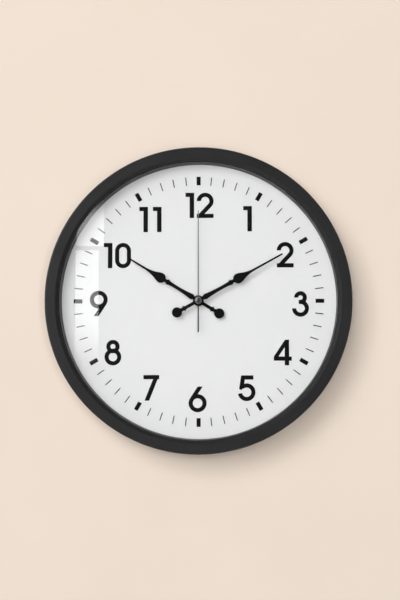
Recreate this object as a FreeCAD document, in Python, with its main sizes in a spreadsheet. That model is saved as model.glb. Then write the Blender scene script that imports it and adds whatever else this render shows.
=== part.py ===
"""A round quartz wall clock, built as an assembly of separate pieces.

The clock hangs on a wall at y = 0 and faces -Y, with +X to the right of someone reading it and +Z up.
The origin is the centre of the ring's rear rim, on the axis that all the hands turn about. In the names
below, "front" and "back" are distances out from the wall, so a level of 10 lies at y = -10.
"""
import FreeCAD, Part
import math
import os

import Sketcher

from FreeCAD import Placement, Rotation, Vector

doc = FreeCAD.newDocument("WallClock")
nodes = []

# ---------------------------------------------------------------------------------------------------
# Driving dimensions, in millimetres, degrees or whole numbers
# ---------------------------------------------------------------------------------------------------
SIZES = [
    # the case
    ("case_diameter", 305, "outside diameter of the ring"),
    ("case_depth", 44, "wall to the front of the ring"),
    ("wall_thickness", 2.5, "outer wall of the ring"),
    ("face_thickness", 3, "front face of the ring"),
    ("edge_rounding", 1.4, "rounding of the ring's outer front edge"),
    ("frame_width", 13.1, "outside of the ring to the edge of the window"),
    ("bevel_width", 2.8, "width of the bevel around the window"),
    ("bevel_depth", 3, "how far the bevel runs back"),
    ("lip_thickness", 1.5, "lip in front of the glass"),
    ("lens_overlap", 3.4, "how far the glass lies behind the lip"),
    ("lens_clearance", 0.4, "gap around the glass"),
    ("lens_thickness", 2, "thickness of the glass"),
    ("skirt_thickness", 2, "wall around glass and dial"),
    ("skirt_overlap", 4.5, "how far that wall runs past the dial"),
    ("boss_diameter", 6.6, "screw posts in the ring"),
    ("boss_root", 0.5, "how far those posts run into the face"),
    ("pilot_clearance", 0.05, "screw to its hole in a post"),
    ("pilot_depth", 16, "depth of the hole in a post"),
    # glass, spacer and dial
    ("spacer_front_step", 0.8, "window edge to the spacer's inner edge at the glass"),
    ("spacer_back_step", 1.7, "window edge to the spacer's inner edge at the dial"),
    ("dial_thickness", 1, "thickness of the dial"),
    ("print_thickness", 0.12, "height of the printed figures and marks"),
    ("mark_inset", 16.4, "edge of the visible dial to the middle of the marks"),
    ("hour_mark_length", 8.7, "length of an hour mark"),
    ("hour_mark_width", 4.1, "width of an hour mark"),
    ("minute_mark_length", 8.4, "length of a minute mark"),
    ("minute_mark_width", 0.95, "width of a minute mark"),
    ("figure_inset", 24.3, "middle of the marks to the circle that the figures stand on"),
    ("figure_height", 25.6, "height of a figure"),
    ("figure_stroke", 4.2, "stroke of a figure"),
    ("figure_gap", 2.7, "gap between the two digits of 10 and 12"),
    ("eleven_gap", 5, "gap between the two digits of 11"),
    # the rear cover and how the clock hangs
    ("cover_thickness", 2, "thickness of the rear cover"),
    ("cover_clearance", 0.5, "gap around the rear cover"),
    ("retainer_thickness", 2.3, "ring between the cover and the dial"),
    ("cover_opening_clearance", 0.6, "gap around the movement in the cover"),
    ("screw_count", 6, "screws that hold the cover"),
    ("screw_diameter", 2.9, "shank of a cover screw"),
    ("screw_length", 14, "shank below the head"),
    ("screw_head_diameter", 4.4, "head of a cover screw"),
    ("screw_head_height", 1.7, "height of that head"),
    ("screw_hole_clearance", 0.2, "screw to its hole in the cover"),
    ("screw_slot_width", 0.8, "slot in the head of a cover screw"),
    ("hanger_width", 34, "steel hanger plate, across"),
    ("hanger_height", 24, "steel hanger plate, up and down"),
    ("hanger_thickness", 1.2, "thickness of the hanger plate"),
    ("hanger_inset", 37.5, "edge of the rear cover to the keyhole centre"),
    ("keyhole_radius", 4.5, "round part of the keyhole"),
    ("keyslot_width", 4.4, "slot above the keyhole"),
    ("keyslot_length", 9, "keyhole centre to the end of the slot"),
    ("keyhole_margin", 1.5, "keyhole to the edge of the cover's opening behind it"),
    ("keyslot_margin", 2, "end of the slot to the edge of that opening"),
    ("rivet_radius", 1.5, "rivets of the hanger plate"),
    ("rivet_spacing", 25, "distance between those rivets"),
    ("rivet_head_radius", 2.7, "heads of those rivets"),
    ("rivet_head_height", 0.9, "height of a rivet's head"),
    # the movement's case
    ("movement_width", 56, "case of the movement, both ways"),
    ("movement_wall", 1.2, "walls of the movement's case"),
    ("movement_corner", 3, "corner radius of the movement's case"),
    ("cushion_thickness", 0.5, "washer between movement and dial"),
    ("plate_thickness", 0.8, "middle plate"),
    ("plate_clearance", 0.4, "gap around the middle plate"),
    ("board_edge_gap", 0.3, "gap beside the circuit board"),
    ("hub_clearance", 0.2, "gap around a hub in the middle plate"),
    ("pivot_clearance", 0.05, "arbor to bearing, all round"),
    ("pivot_boss_radius", 1.5, "bearing bosses in the rear case"),
    ("pivot_boss_height", 0.8, "height of those bosses"),
    ("pivot_floor", 0.9, "plastic behind the arbors' rear pivots"),
    ("plate_post_radius", 2, "posts under the middle plate"),
    ("plate_post_inset", 2.4, "middle of those posts to the case's inner wall"),
    ("leg_post_radius", 1.3, "posts under the stator's legs"),
    ("board_post_radius", 1.2, "posts under the circuit board"),
    ("board_post_inset", 2, "middle of those posts to the board's edges"),
    ("knob_boss_wall", 1.2, "wall of the setting shaft's rear bearing"),
    ("knob_boss_height", 2, "height of that bearing"),
    # the battery
    ("train_room", 10.6, "centre down to the battery bay's partition"),
    ("bay_slack", 0.8, "height of the battery bay beyond the cell"),
    ("bay_gap", 0.5, "battery to the bay's walls"),
    ("cell_diameter", 14.2, "AA cell, outside its sleeve"),
    ("cell_length", 49.4, "AA cell without its cap"),
    ("cell_cap_diameter", 5.4, "cap of the cell"),
    ("cell_cap_height", 1, "height of that cap"),
    ("sleeve_thickness", 0.15, "plastic sleeve on the cell"),
    ("contact_thickness", 0.4, "battery contacts"),
    ("contact_width", 7, "battery contacts"),
    ("contact_foot", 2, "inner rear wall of the case to a contact's rear end"),
    ("contact_head", 1, "a contact's front end to the inner front wall"),
    ("spring_bend", 3, "inner front wall to where the spring contact bends in"),
    ("spring_start", 0.5, "cell's axis to the near end of the spring's touching part"),
    ("spring_touch", 1.5, "length of that part"),
    ("spring_gap", 0.1, "spring contact to the cell"),
    ("sleeve_rear_margin", 0.6, "sleeve to the end of the cell, at the negative end"),
    ("sleeve_front_margin", 0.3, "sleeve to the end of the cell, at the positive end"),
    # the train: distances and directions between arbors, and teeth
    ("rotor_distance", 6.8, "rotor arbor to fifth arbor"),
    ("rotor_direction", 150, "direction of that line, from +X towards +Z"),
    ("fifth_distance", 7.5, "fifth arbor to centre"),
    ("fifth_direction", 120, "direction of that line"),
    ("third_distance", 9.18, "third arbor to centre"),
    ("third_direction", 20, "direction of that line"),
    ("motion_distance", 10, "minute-work post to centre"),
    ("motion_direction", 180, "direction of that line"),
    ("knob_direction", 225, "setting shaft, seen from the minute-work post"),
    ("rotor_teeth", 8, "rotor pinion"),
    ("fifth_wheel_teeth", 60, "fifth wheel"),
    ("fifth_pinion_teeth", 10, "fifth pinion"),
    ("second_wheel_teeth", 40, "second wheel"),
    ("second_pinion_teeth", 8, "second pinion"),
    ("third_wheel_teeth", 60, "third wheel"),
    ("third_pinion_teeth", 8, "third pinion"),
    ("centre_wheel_teeth", 64, "centre wheel"),
    ("minute_pinion_teeth", 12, "pinion of the minute pipe"),
    ("motion_wheel_teeth", 36, "minute-work wheel"),
    ("motion_pinion_teeth", 10, "minute-work pinion"),
    ("hour_wheel_teeth", 40, "hour wheel"),
    ("setting_teeth", 12, "pinion of the setting shaft"),
    ("wheel_thickness", 0.7, "rim of a train wheel"),
    ("motion_thickness", 0.8, "rim of a minute-work wheel"),
    # the train: gaps from the back to the front
    ("end_shake", 0.3, "pinion to bearing boss, and wheel to the end of its neighbour's pinion"),
    ("wheel_gap", 1.3, "fifth to second wheel, and second to third wheel"),
    ("plate_gap", 0.7, "third wheel to middle plate"),
    ("centre_wheel_gap", 0.8, "middle plate to centre wheel"),
    ("motion_gap", 1, "centre wheel to minute pinion, and minute-work wheel to hour wheel"),
    ("pinion_shoulder", 0.2, "shoulder of a pinion beyond the wheel it drives"),
    ("hour_wheel_gap", 0.6, "hour wheel to the front case"),
    ("pinion_overlap", 0.4, "third and setting pinions beyond the wheels they drive"),
    ("minute_pinion_width", 1.4, "teeth of the minute pipe, back to front"),
    ("magnet_gap", 0.5, "rotor pinion to magnet, and magnet's back to the stator"),
    ("magnet_length", 2.5, "rotor magnet, back to front"),
    # the arbors and pipes
    ("arbor_radius", 0.35, "rotor and fifth arbors"),
    ("pivot_end_gap", 0.1, "rear end of an arbor to the bottom of its bearing"),
    ("third_pivot_length", 0.5, "third arbor's pivot in the front case"),
    ("rotor_hub_end", 0.4, "rotor's hub in front of its magnet"),
    ("centre_hub_radius", 2.4, "hub behind the centre wheel"),
    ("centre_hub_length", 0.4, "length of that hub"),
    ("hour_hub_wall", 0.5, "hour wheel's hub around its pipe"),
    ("hour_hub_rear", 0.3, "that hub behind the wheel"),
    ("hour_hub_front", 0.4, "that hub in front of the wheel"),
    ("spring_wall", 0.3, "thickness of the friction spring"),
    ("spring_root", 0.8, "flat inner part of the friction spring"),
    ("spring_reach", 4.16, "outer radius of the friction spring"),
    ("third_arbor_radius", 0.4, "third arbor"),
    ("second_arbor_radius", 0.5, "centre-seconds arbor"),
    ("pipe_clearance", 0.1, "gap between pipes that turn in each other"),
    ("minute_pipe_radius", 1.7, "outside of the minute pipe"),
    ("minute_spigot_radius", 1.3, "rear end of the minute pipe"),
    ("hour_pipe_radius", 2.5, "outside of the hour pipe"),
    ("bush_radius", 4, "threaded bush"),
    ("bush_flange_radius", 5.5, "flange of the bush, set in the case"),
    ("bush_length", 5, "bush in front of the movement"),
    ("thread_pitch", 0.75, "thread of the bush"),
    ("thread_depth", 0.35, "depth of that thread"),
    ("thread_lead", 0.3, "plain part at either end of the thread"),
    ("nut_radius", 5.2, "round nut and its washer"),
    ("nut_height", 2.2, "height of the nut"),
    ("nut_slots", 4, "slots in the front of the nut"),
    ("nut_slot_width", 1, "width of those slots"),
    ("nut_slot_depth", 0.8, "depth of those slots"),
    ("dial_washer_thickness", 0.5, "washer under the nut"),
    ("post_radius", 1, "minute-work post"),
    ("post_shoulder_radius", 1.4, "shoulder of that post"),
    ("setting_shaft_radius", 1.5, "setting shaft"),
    ("knob_radius", 4.2, "setting knob"),
    ("knob_height", 2.2, "height of the setting knob"),
    ("knob_standoff", 2.5, "movement's case to the rear face of the knob"),
    ("knob_floor", 0.6, "knob behind the end of its shaft"),
    ("knob_grips", 12, "grooves around the knob"),
    ("knob_grip_radius", 0.45, "radius of those grooves"),
    # the motor
    ("magnet_radius", 3, "rotor magnet"),
    ("stator_gap", 0.45, "magnet to stator"),
    ("stator_thickness", 0.8, "stator plate"),
    ("stator_rim", 1.25, "stator around the magnet"),
    ("stator_arm_start", 0.6, "rotor up to the arm that joins the right leg"),
    ("stator_arm_width", 3.8, "width of that arm"),
    ("leg_end", 1.5, "coil axis to the end of a leg"),
    ("coil_level", 20.5, "coil axis above the centre"),
    ("coil_radius", 2.8, "outside of the winding"),
    ("core_width", 2, "iron core through the coil"),
    ("stator_head_height", 0.8, "heads of the stator's screws"),
    ("stator_screw_gap", 0.4, "those screws' ends to the rear case"),
    ("coil_length", 17.8, "length of the winding"),
    ("coil_offset", -2, "middle of the coil, sideways"),
    ("bobbin_radius", 1.5, "barrel of the bobbin"),
    ("flange_thickness", 0.6, "flanges of the bobbin"),
    ("leg_spacing", 24, "distance between the stator's legs"),
    ("leg_width", 4, "width of the stator's legs"),
    ("stator_screw_radius", 0.6, "screws that hold the stator"),
    ("rotor_hub_radius", 0.9, "hub between pinion and magnet"),
    ("third_hub_radius", 0.75, "hub between third wheel and its pinion"),
    ("setting_pivot_radius", 0.8, "front pivot of the setting shaft"),
    ("setting_pivot_gap", 0.5, "that pivot to the bottom of its bearing"),
    ("setting_pivot_depth", 1, "how far the pivot runs in its bearing"),
    ("setting_boss_wall", 1.1, "wall of that bearing"),
    ("motion_hub_length", 0.8, "hub behind the minute-work wheel"),
    ("motion_hub_wall", 0.6, "wall of that hub"),
    ("post_end", 0.1, "gap under that hub, and post beyond the minute-work wheel"),
    ("board_thickness", 1, "circuit board"),
    ("board_width", 11, "circuit board, across"),
    ("board_height", 21, "circuit board, up and down"),
    ("board_bottom", -1, "lower edge of the board, from the centre"),
    ("crystal_radius", 1, "quartz crystal"),
    ("crystal_length", 6, "quartz crystal"),
    ("crystal_across", 4, "board's left edge to the crystal's axis"),
    ("crystal_up", 10, "board's lower edge to the crystal"),
    ("chip_radius", 2.6, "foot of the chip's resin dome"),
    ("chip_top_radius", 1.4, "top of that dome"),
    ("chip_height", 1.1, "height of that dome"),
    ("chip_across", 5.5, "board's left edge to the chip"),
    ("chip_up", 5, "board's lower edge to the chip"),
    # the hands
    ("hour_hand_gap", 1.4, "bush to hour hand"),
    ("hand_spacing", 2.8, "hour hand to minute hand, and minute hand to second hand"),
    ("hand_thickness", 0.4, "hour and minute hands"),
    ("hand_hub_radius", 5.35, "hub of the hour and minute hands"),
    ("pipe_stub", 1.2, "hour and minute pipes in front of their hands"),
    ("collet_wall", 0.7, "wall of a hand's collet"),
    ("collet_rear", 0.8, "collet behind its hand"),
    ("collet_flange", 1.5, "flange of a collet around its pipe"),
    ("collet_rim", 0.3, "edge of that flange in front of the hand"),
    ("collet_neck", 0.5, "top of that flange around the pipe"),
    ("collet_front", 0.8, "top of that flange in front of the hand"),
    ("second_sleeve_wall", 0.7, "wall of the second hand's sleeve"),
    ("second_sleeve_gap", 0.3, "that sleeve to the end of the minute pipe"),
    ("second_disc_inset", 0.6, "edge of the centre cap to the second hand's disc"),
    ("hour_hand_length", 80, "centre to the tip of the hour hand"),
    ("minute_hand_length", 96, "centre to the tip of the minute hand"),
    ("hour_spade_radius", 44.6, "centre to the widest place of the hour hand"),
    ("minute_spade_radius", 45.8, "centre to the widest place of the minute hand"),
    ("spade_width", 10.1, "width of the hands at their widest"),
    ("counterweight_distance", 24.4, "centre to the middle of a hand's round tail"),
    ("counterweight_radius", 5.1, "round tail of a hand"),
    ("second_hand_length", 90, "centre to the tip of the second hand"),
    ("second_tail_length", 31.6, "tail of the second hand"),
    ("second_hand_width", 1.1, "width of the second hand"),
    ("second_hand_thickness", 0.3, "thickness of the second hand"),
    ("cap_radius", 3.55, "centre cap"),
    ("cap_height", 2, "height of the centre cap"),
    ("cap_rim", 0.4, "straight rim under the cap's dome"),
    ("cap_clearance", 1.2, "cap to glass"),
    ("hour_hand_angle", 301.5, "hour hand, clockwise from 12"),
    ("minute_hand_angle", 61, "minute hand, clockwise from 12"),
]

# ---------------------------------------------------------------------------------------------------
# Places that follow from them. Radii are from the clock's axis, levels are distances out from the wall
# ---------------------------------------------------------------------------------------------------
PLACES = [
    ("case_radius", "Sizes.case_diameter / 2"),
    ("window_radius", "case_radius - Sizes.frame_width"),
    ("bevel_radius", "window_radius + Sizes.bevel_width"),
    ("lens_radius", "window_radius + Sizes.lens_overlap"),
    ("skirt_inside", "lens_radius + Sizes.lens_clearance"),
    ("skirt_outside", "skirt_inside + Sizes.skirt_thickness"),
    ("wall_inside", "case_radius - Sizes.wall_thickness"),
    ("face_back", "Sizes.case_depth - Sizes.face_thickness"),
    ("bevel_back", "Sizes.case_depth - Sizes.bevel_depth"),
    ("lens_front", "bevel_back - Sizes.lip_thickness"),
    ("lens_back", "lens_front - Sizes.lens_thickness"),
    ("hand_room", "Sizes.bush_length - Sizes.dial_thickness - Sizes.cushion_thickness"
     " + Sizes.hour_hand_gap + 2 * Sizes.hand_spacing + Sizes.second_hand_thickness"
     " + Sizes.cap_height + Sizes.cap_clearance"),
    ("dial_front", "lens_back - hand_room"),
    ("dial_back", "dial_front - Sizes.dial_thickness"),
    ("print_front", "dial_front + Sizes.print_thickness"),
    ("skirt_back", "dial_back - Sizes.skirt_overlap"),
    ("movement_front", "dial_back - Sizes.cushion_thickness"),
    ("rear_half_depth", "Sizes.movement_wall + Sizes.pivot_boss_height + 2 * Sizes.end_shake"
     " + 3 * Sizes.wheel_thickness + 2 * Sizes.wheel_gap + Sizes.plate_gap"),
    ("front_half_depth", "Sizes.plate_thickness + Sizes.centre_wheel_gap + 3 * Sizes.motion_thickness"
     " + 2 * Sizes.motion_gap + Sizes.pinion_shoulder + Sizes.hour_wheel_gap + Sizes.movement_wall"),
    ("parting", "movement_front - front_half_depth"),
    ("movement_back", "parting - rear_half_depth"),
    ("cover_back", "movement_back"),
    ("cover_front", "cover_back + Sizes.cover_thickness"),
    ("cover_radius", "wall_inside - Sizes.cover_clearance"),
    ("boss_ring_radius", "(skirt_outside + wall_inside) / 2"),
    ("dial_radius", "window_radius - Sizes.spacer_back_step"),
    ("mark_ring_radius", "dial_radius - Sizes.mark_inset"),
    ("figure_ring_radius", "mark_ring_radius - Sizes.figure_inset"),
    ("hanger_level", "cover_radius - Sizes.hanger_inset"),
    ("hanger_back", "cover_back - Sizes.hanger_thickness"),
    ("movement_half", "Sizes.movement_width / 2"),
    ("room_half", "movement_half - Sizes.movement_wall"),
    ("room_back", "movement_back + Sizes.movement_wall"),
    ("room_front", "movement_front - Sizes.movement_wall"),
    ("plate_front", "parting + Sizes.plate_thickness"),
    ("boss_front", "room_back + Sizes.pivot_boss_height"),
    ("pivot_back", "movement_back + Sizes.pivot_floor"),
    ("partition_top", "-Sizes.train_room"),
    ("bay_top", "partition_top - Sizes.movement_wall"),
    ("bay_bottom", "bay_top - Sizes.cell_diameter - Sizes.bay_slack"),
    ("movement_bottom", "bay_bottom - Sizes.movement_wall"),
    ("cell_radius", "Sizes.cell_diameter / 2"),
    ("cell_level", "room_front - Sizes.bay_gap / 2 - cell_radius"),
    ("cell_height", "bay_bottom + Sizes.bay_gap / 2 + cell_radius"),
    ("cell_minus", "-Sizes.cell_length / 2 + Sizes.bay_gap"),
    ("cell_plus", "cell_minus + Sizes.cell_length"),
    # arbors
    ("fifth_across", "Sizes.fifth_distance * cos(Sizes.fifth_direction * 1deg)"),
    ("fifth_up", "Sizes.fifth_distance * sin(Sizes.fifth_direction * 1deg)"),
    ("rotor_across", "fifth_across + Sizes.rotor_distance * cos(Sizes.rotor_direction * 1deg)"),
    ("rotor_up", "fifth_up + Sizes.rotor_distance * sin(Sizes.rotor_direction * 1deg)"),
    ("third_across", "Sizes.third_distance * cos(Sizes.third_direction * 1deg)"),
    ("third_up", "Sizes.third_distance * sin(Sizes.third_direction * 1deg)"),
    ("motion_across", "Sizes.motion_distance * cos(Sizes.motion_direction * 1deg)"),
    ("motion_up", "Sizes.motion_distance * sin(Sizes.motion_direction * 1deg)"),
    ("knob_across", "motion_across + Sizes.motion_distance * cos(Sizes.knob_direction * 1deg)"),
    ("knob_up", "motion_up + Sizes.motion_distance * sin(Sizes.knob_direction * 1deg)"),
    # levels in the train, from the back
    ("rotor_pinion_back", "boss_front + Sizes.end_shake"),
    ("fifth_wheel_back", "rotor_pinion_back + Sizes.end_shake"),
    ("fifth_wheel_front", "fifth_wheel_back + Sizes.wheel_thickness"),
    ("rotor_pinion_front", "fifth_wheel_front + Sizes.pinion_shoulder"),
    ("magnet_back", "rotor_pinion_front + Sizes.magnet_gap"),
    ("magnet_front", "magnet_back + Sizes.magnet_length"),
    ("second_wheel_back", "fifth_wheel_front + Sizes.wheel_gap"),
    ("second_wheel_front", "second_wheel_back + Sizes.wheel_thickness"),
    ("fifth_pinion_front", "second_wheel_front + Sizes.end_shake"),
    ("third_wheel_back", "second_wheel_front + Sizes.wheel_gap"),
    ("third_wheel_front", "third_wheel_back + Sizes.wheel_thickness"),
    ("second_pinion_back", "third_wheel_back - Sizes.end_shake"),
    ("second_pinion_front", "third_wheel_front + Sizes.end_shake"),
    ("centre_wheel_back", "plate_front + Sizes.centre_wheel_gap"),
    ("centre_wheel_front", "centre_wheel_back + Sizes.motion_thickness"),
    ("third_pinion_back", "centre_wheel_back - Sizes.pinion_overlap"),
    ("third_pinion_front", "centre_wheel_front + Sizes.pinion_overlap"),
    ("minute_pipe_back", "plate_front + Sizes.pinion_shoulder"),
    ("minute_pinion_back", "centre_wheel_front + Sizes.motion_gap"),
    ("minute_pinion_front", "minute_pinion_back + Sizes.minute_pinion_width"),
    ("motion_wheel_back", "minute_pinion_back + Sizes.pinion_shoulder"),
    ("motion_wheel_front", "motion_wheel_back + Sizes.motion_thickness"),
    ("hour_wheel_back", "motion_wheel_front + Sizes.motion_gap"),
    ("hour_wheel_front", "hour_wheel_back + Sizes.motion_thickness"),
    ("motion_hub_back", "motion_wheel_back - Sizes.motion_hub_length"),
    ("motion_pinion_front", "hour_wheel_front + Sizes.pinion_shoulder"),
    ("setting_pinion_back", "motion_wheel_back - Sizes.pinion_overlap"),
    ("setting_pinion_front", "motion_wheel_front + Sizes.pinion_overlap"),
    ("setting_pivot_front", "room_front - Sizes.setting_pivot_gap"),
    ("knob_back", "movement_back - Sizes.knob_standoff"),
    ("stator_back", "magnet_back + Sizes.magnet_gap"),
    ("stator_front", "stator_back + Sizes.stator_thickness"),
    ("core_back", "stator_back - Sizes.stator_thickness"),
    ("coil_centre_level", "core_back + Sizes.stator_thickness / 2"),
    ("board_back", "boss_front"),
    ("board_front", "board_back + Sizes.board_thickness"),
    ("board_left", "Sizes.board_edge_gap - room_half"),
    ("board_right", "board_left + Sizes.board_width"),
    ("board_top", "Sizes.board_bottom + Sizes.board_height"),
    ("left_leg", "Sizes.coil_offset - Sizes.leg_spacing / 2"),
    ("right_leg", "Sizes.coil_offset + Sizes.leg_spacing / 2"),
    # pipes and hands
    ("hour_bore", "Sizes.minute_pipe_radius + Sizes.pipe_clearance"),
    ("bush_bore", "Sizes.hour_pipe_radius + Sizes.pipe_clearance"),
    ("bush_front", "movement_front + Sizes.bush_length"),
    ("washer_front", "dial_front + Sizes.dial_washer_thickness"),
    ("nut_front", "washer_front + Sizes.nut_height"),
    ("hour_hand_back", "bush_front + Sizes.hour_hand_gap"),
    ("hour_hand_front", "hour_hand_back + Sizes.hand_thickness"),
    ("hour_pipe_front", "hour_hand_front + Sizes.pipe_stub"),
    ("minute_hand_back", "hour_hand_back + Sizes.hand_spacing"),
    ("minute_hand_front", "minute_hand_back + Sizes.hand_thickness"),
    ("minute_pipe_front", "minute_hand_front + Sizes.pipe_stub"),
    ("second_hand_back", "minute_hand_back + Sizes.hand_spacing"),
    ("second_hand_front", "second_hand_back + Sizes.second_hand_thickness"),
    ("cap_front", "second_hand_front + Sizes.cap_height"),
    ("cap_dome_height", "Sizes.cap_height - Sizes.cap_rim"),
    ("cap_dome_radius", "(Sizes.cap_radius ^ 2 + cap_dome_height ^ 2) / (2 * cap_dome_height)"),
]


def fill_sheet(name, rows):
    """Make a spreadsheet whose second column holds the values, each with an alias."""
    sheet = doc.addObject("Spreadsheet::Sheet", name)
    for number, row in enumerate(rows, start=1):
        sheet.set(f"A{number}", row[2] if len(row) > 2 else row[0].replace("_", " "))
        content = row[1] if isinstance(row[1], (int, float)) else "=" + row[1]
        sheet.set(f"B{number}", str(content))
        sheet.setAlias(f"B{number}", row[0])
    doc.recompute()
    return sheet


sizes = fill_sheet("Sizes", SIZES)
places = fill_sheet("Places", PLACES)
HOME = {row[0]: "Sizes" for row in SIZES} | {row[0]: "Places" for row in PLACES}


def full(expression):
    """Write the sheet's name before each alias in an expression."""
    words = []
    word = ""
    for letter in str(expression) + " ":
        if letter.isalnum() or letter == "_":
            word += letter
            continue
        words.append(f"{HOME[word]}.{word}" if word in HOME else word)
        words.append(letter)
        word = ""
    return "".join(words).strip()


def value(expression):
    """The number that an expression gives."""
    result = sizes.evalExpression(full(expression))
    return float(result.Value if hasattr(result, "Value") else result)


def bind(item, bindings):
    """Tie properties of an object to expressions."""
    for path, expression in bindings.items():
        item.setExpression(path, full(expression))


# ---------------------------------------------------------------------------------------------------
# Part Design bodies
# ---------------------------------------------------------------------------------------------------
def new_body(label):
    """A body that becomes the node of that name."""
    body = doc.addObject("PartDesign::Body", label)
    body.Label = label
    nodes.append(body)
    return body


def new_sketch(body, role, level="0"):
    """A sketch on one of the body's origin planes, or a level out from it."""
    plane = next(item for item in body.Origin.OriginFeatures if item.Role == role)
    sketch = body.newObject("Sketcher::SketchObject", f"{body.Name}_sketch")
    sketch.AttachmentSupport = [(plane, "")]
    sketch.MapMode = "FlatFace"
    bind(sketch, {"AttachmentOffset.Base.z": level})
    return sketch


def hold(sketch, geometry, point, corner):
    """Tie one point of a sketch to an expression for each direction."""
    axes = (("DistanceX", corner[0], -2), ("DistanceY", corner[1], -1))
    for kind, expression, axis in axes:
        if abs(value(expression)) < 1e-9:
            sketch.addConstraint(Sketcher.Constraint("PointOnObject", geometry, point, axis))
            continue
        number = sketch.addConstraint(
            Sketcher.Constraint(kind, -1, 1, geometry, point, value(expression)))
        bind(sketch, {f"Constraints[{number}]": expression})


def draw_circle(sketch, radius, centre=("0", "0")):
    """A circle whose centre and radius follow expressions."""
    middle = Vector(value(centre[0]), value(centre[1]), 0)
    number = sketch.addGeometry(Part.Circle(middle, Vector(0, 0, 1), value(radius)))
    hold(sketch, number, 3, centre)
    constraint = sketch.addConstraint(Sketcher.Constraint("Radius", number, value(radius)))
    bind(sketch, {f"Constraints[{constraint}]": radius})


def draw_polygon(sketch, corners):
    """A closed outline of straight lines, each corner following a pair of expressions."""
    points = [Vector(value(across), value(up), 0) for across, up in corners]
    lines = [sketch.addGeometry(Part.LineSegment(point, points[(index + 1) % len(points)]))
             for index, point in enumerate(points)]
    for index, line in enumerate(lines):
        sketch.addConstraint(Sketcher.Constraint("Coincident", line, 2, lines[(index + 1) % len(lines)], 1))
        hold(sketch, line, 1, corners[index])


def rectangle(left, right, bottom, top):
    """The four corners of a rectangle, as expressions."""
    return [(left, bottom), (right, bottom), (right, top), (left, top)]


def pad(body, sketch, length):
    """Grow a sketch towards the front."""
    feature = body.newObject("PartDesign::Pad", f"{body.Name}_pad")
    feature.Profile = sketch
    bind(feature, {"Length": length})
    sketch.Visibility = False
    return feature


def pocket(body, sketch, depth):
    """Cut a sketch away, from its own level towards the front."""
    feature = body.newObject("PartDesign::Pocket", f"{body.Name}_pocket")
    feature.Profile = sketch
    feature.Reversed = True
    bind(feature, {"Length": depth})
    return feature


def repeat(body, feature, count):
    """Repeat a feature around the clock's axis."""
    pattern = body.newObject("PartDesign::PolarPattern", f"{body.Name}_pattern")
    pattern.Originals = [feature]
    axis = next(item for item in body.Origin.OriginFeatures if item.Role == "Y_Axis")
    pattern.Axis = (axis, [""])
    pattern.Angle = 360
    bind(pattern, {"Occurrences": count})
    body.Tip = pattern
    return pattern


def disc(body, back, front, radius, holes=()):
    """A pad between two levels, bounded by a circle about the clock's axis."""
    sketch = new_sketch(body, "XZ_Plane", back)
    draw_circle(sketch, radius)
    for hole in holes:
        draw_circle(sketch, *hole)
    return pad(body, sketch, f"({front}) - ({back})")


def turned(body, corners):
    """A piece turned about the clock's axis: each corner is a radius and a level."""
    sketch = new_sketch(body, "XY_Plane")
    draw_polygon(sketch, [(radius, f"-({level})") for radius, level in corners])
    feature = body.newObject("PartDesign::Revolution", f"{body.Name}_turned")
    feature.Profile = sketch
    feature.ReferenceAxis = (sketch, ["V_Axis"])
    feature.Angle = 360
    return feature


def polar(radius, angle):
    """The place at a radius and an angle clockwise from 12, as expressions."""
    return (f"({radius}) * sin({angle} * 1deg)", f"({radius}) * cos({angle} * 1deg)")


# ---------------------------------------------------------------------------------------------------
# Part primitives, and outlines that are worked out
# ---------------------------------------------------------------------------------------------------
def finish_node(item, label):
    """Give an object its name and list it as a node."""
    item.Label = label
    nodes.append(item)
    return item


def rod(name, centre, back, front, radius):
    """A cylinder along the clock's axis direction, between two levels."""
    item = doc.addObject("Part::Cylinder", name)
    item.Placement = Placement(Vector(), Rotation(Vector(1, 0, 0), 90))
    bind(item, {"Placement.Base.x": centre[0], "Placement.Base.z": centre[1],
                "Placement.Base.y": f"-({back})", "Height": f"({front}) - ({back})", "Radius": radius})
    return item


def bar_across(name, start, end, level, height, radius):
    """A cylinder along X, between two places."""
    item = doc.addObject("Part::Cylinder", name)
    item.Placement = Placement(Vector(), Rotation(Vector(0, 1, 0), 90))
    bind(item, {"Placement.Base.x": start, "Placement.Base.y": f"-({level})",
                "Placement.Base.z": height, "Height": f"({end}) - ({start})", "Radius": radius})
    return item


def block(name, left, right, back, front, bottom, top):
    """A box between three pairs of places."""
    item = doc.addObject("Part::Box", name)
    bind(item, {"Placement.Base.x": left, "Placement.Base.y": f"-({front})", "Placement.Base.z": bottom,
                "Length": f"({right}) - ({left})", "Width": f"({front}) - ({back})",
                "Height": f"({top}) - ({bottom})"})
    return item


def join(name, pieces):
    """The union of several pieces."""
    item = doc.addObject("Part::MultiFuse", name)
    item.Shapes = pieces
    item.Refine = True
    return item


def cut(name, base, tools):
    """One piece with others taken away from it."""
    item = doc.addObject("Part::Cut", name)
    item.Base = base
    item.Tool = tools[0] if len(tools) == 1 else join(name + "_tools", tools)
    item.Refine = True
    return item


def outline_solid(name, outlines, level, thickness):
    """Plates from outlines drawn at y = 0, each of one or more overlapping faces, from a level forward."""
    forward = Vector(0, -value(thickness), 0)
    solids = []
    for strokes in outlines:
        plates = [stroke.extrude(forward) for stroke in strokes]
        whole = plates[0].fuse(plates[1:]).removeSplitter() if len(plates) > 1 else plates[0]
        if len(whole.Solids) != 1:
            raise RuntimeError(f"an outline of {name} falls into {len(whole.Solids)} pieces")
        solids.append(whole.Solids[0])
    item = doc.addObject("Part::Feature", name)
    item.Shape = solids[0] if len(solids) == 1 else Part.makeCompound(solids)
    item.Placement = Placement(Vector(0, -value(level), 0), Rotation())
    return item


def flat(across, up):
    """A point of an outline drawn at y = 0."""
    return Vector(across, 0, up)


def polygon_face(points):
    """A face bounded by straight lines."""
    corners = [flat(*point) for point in points]
    return Part.Face(Part.makePolygon(corners + corners[:1]))


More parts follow.
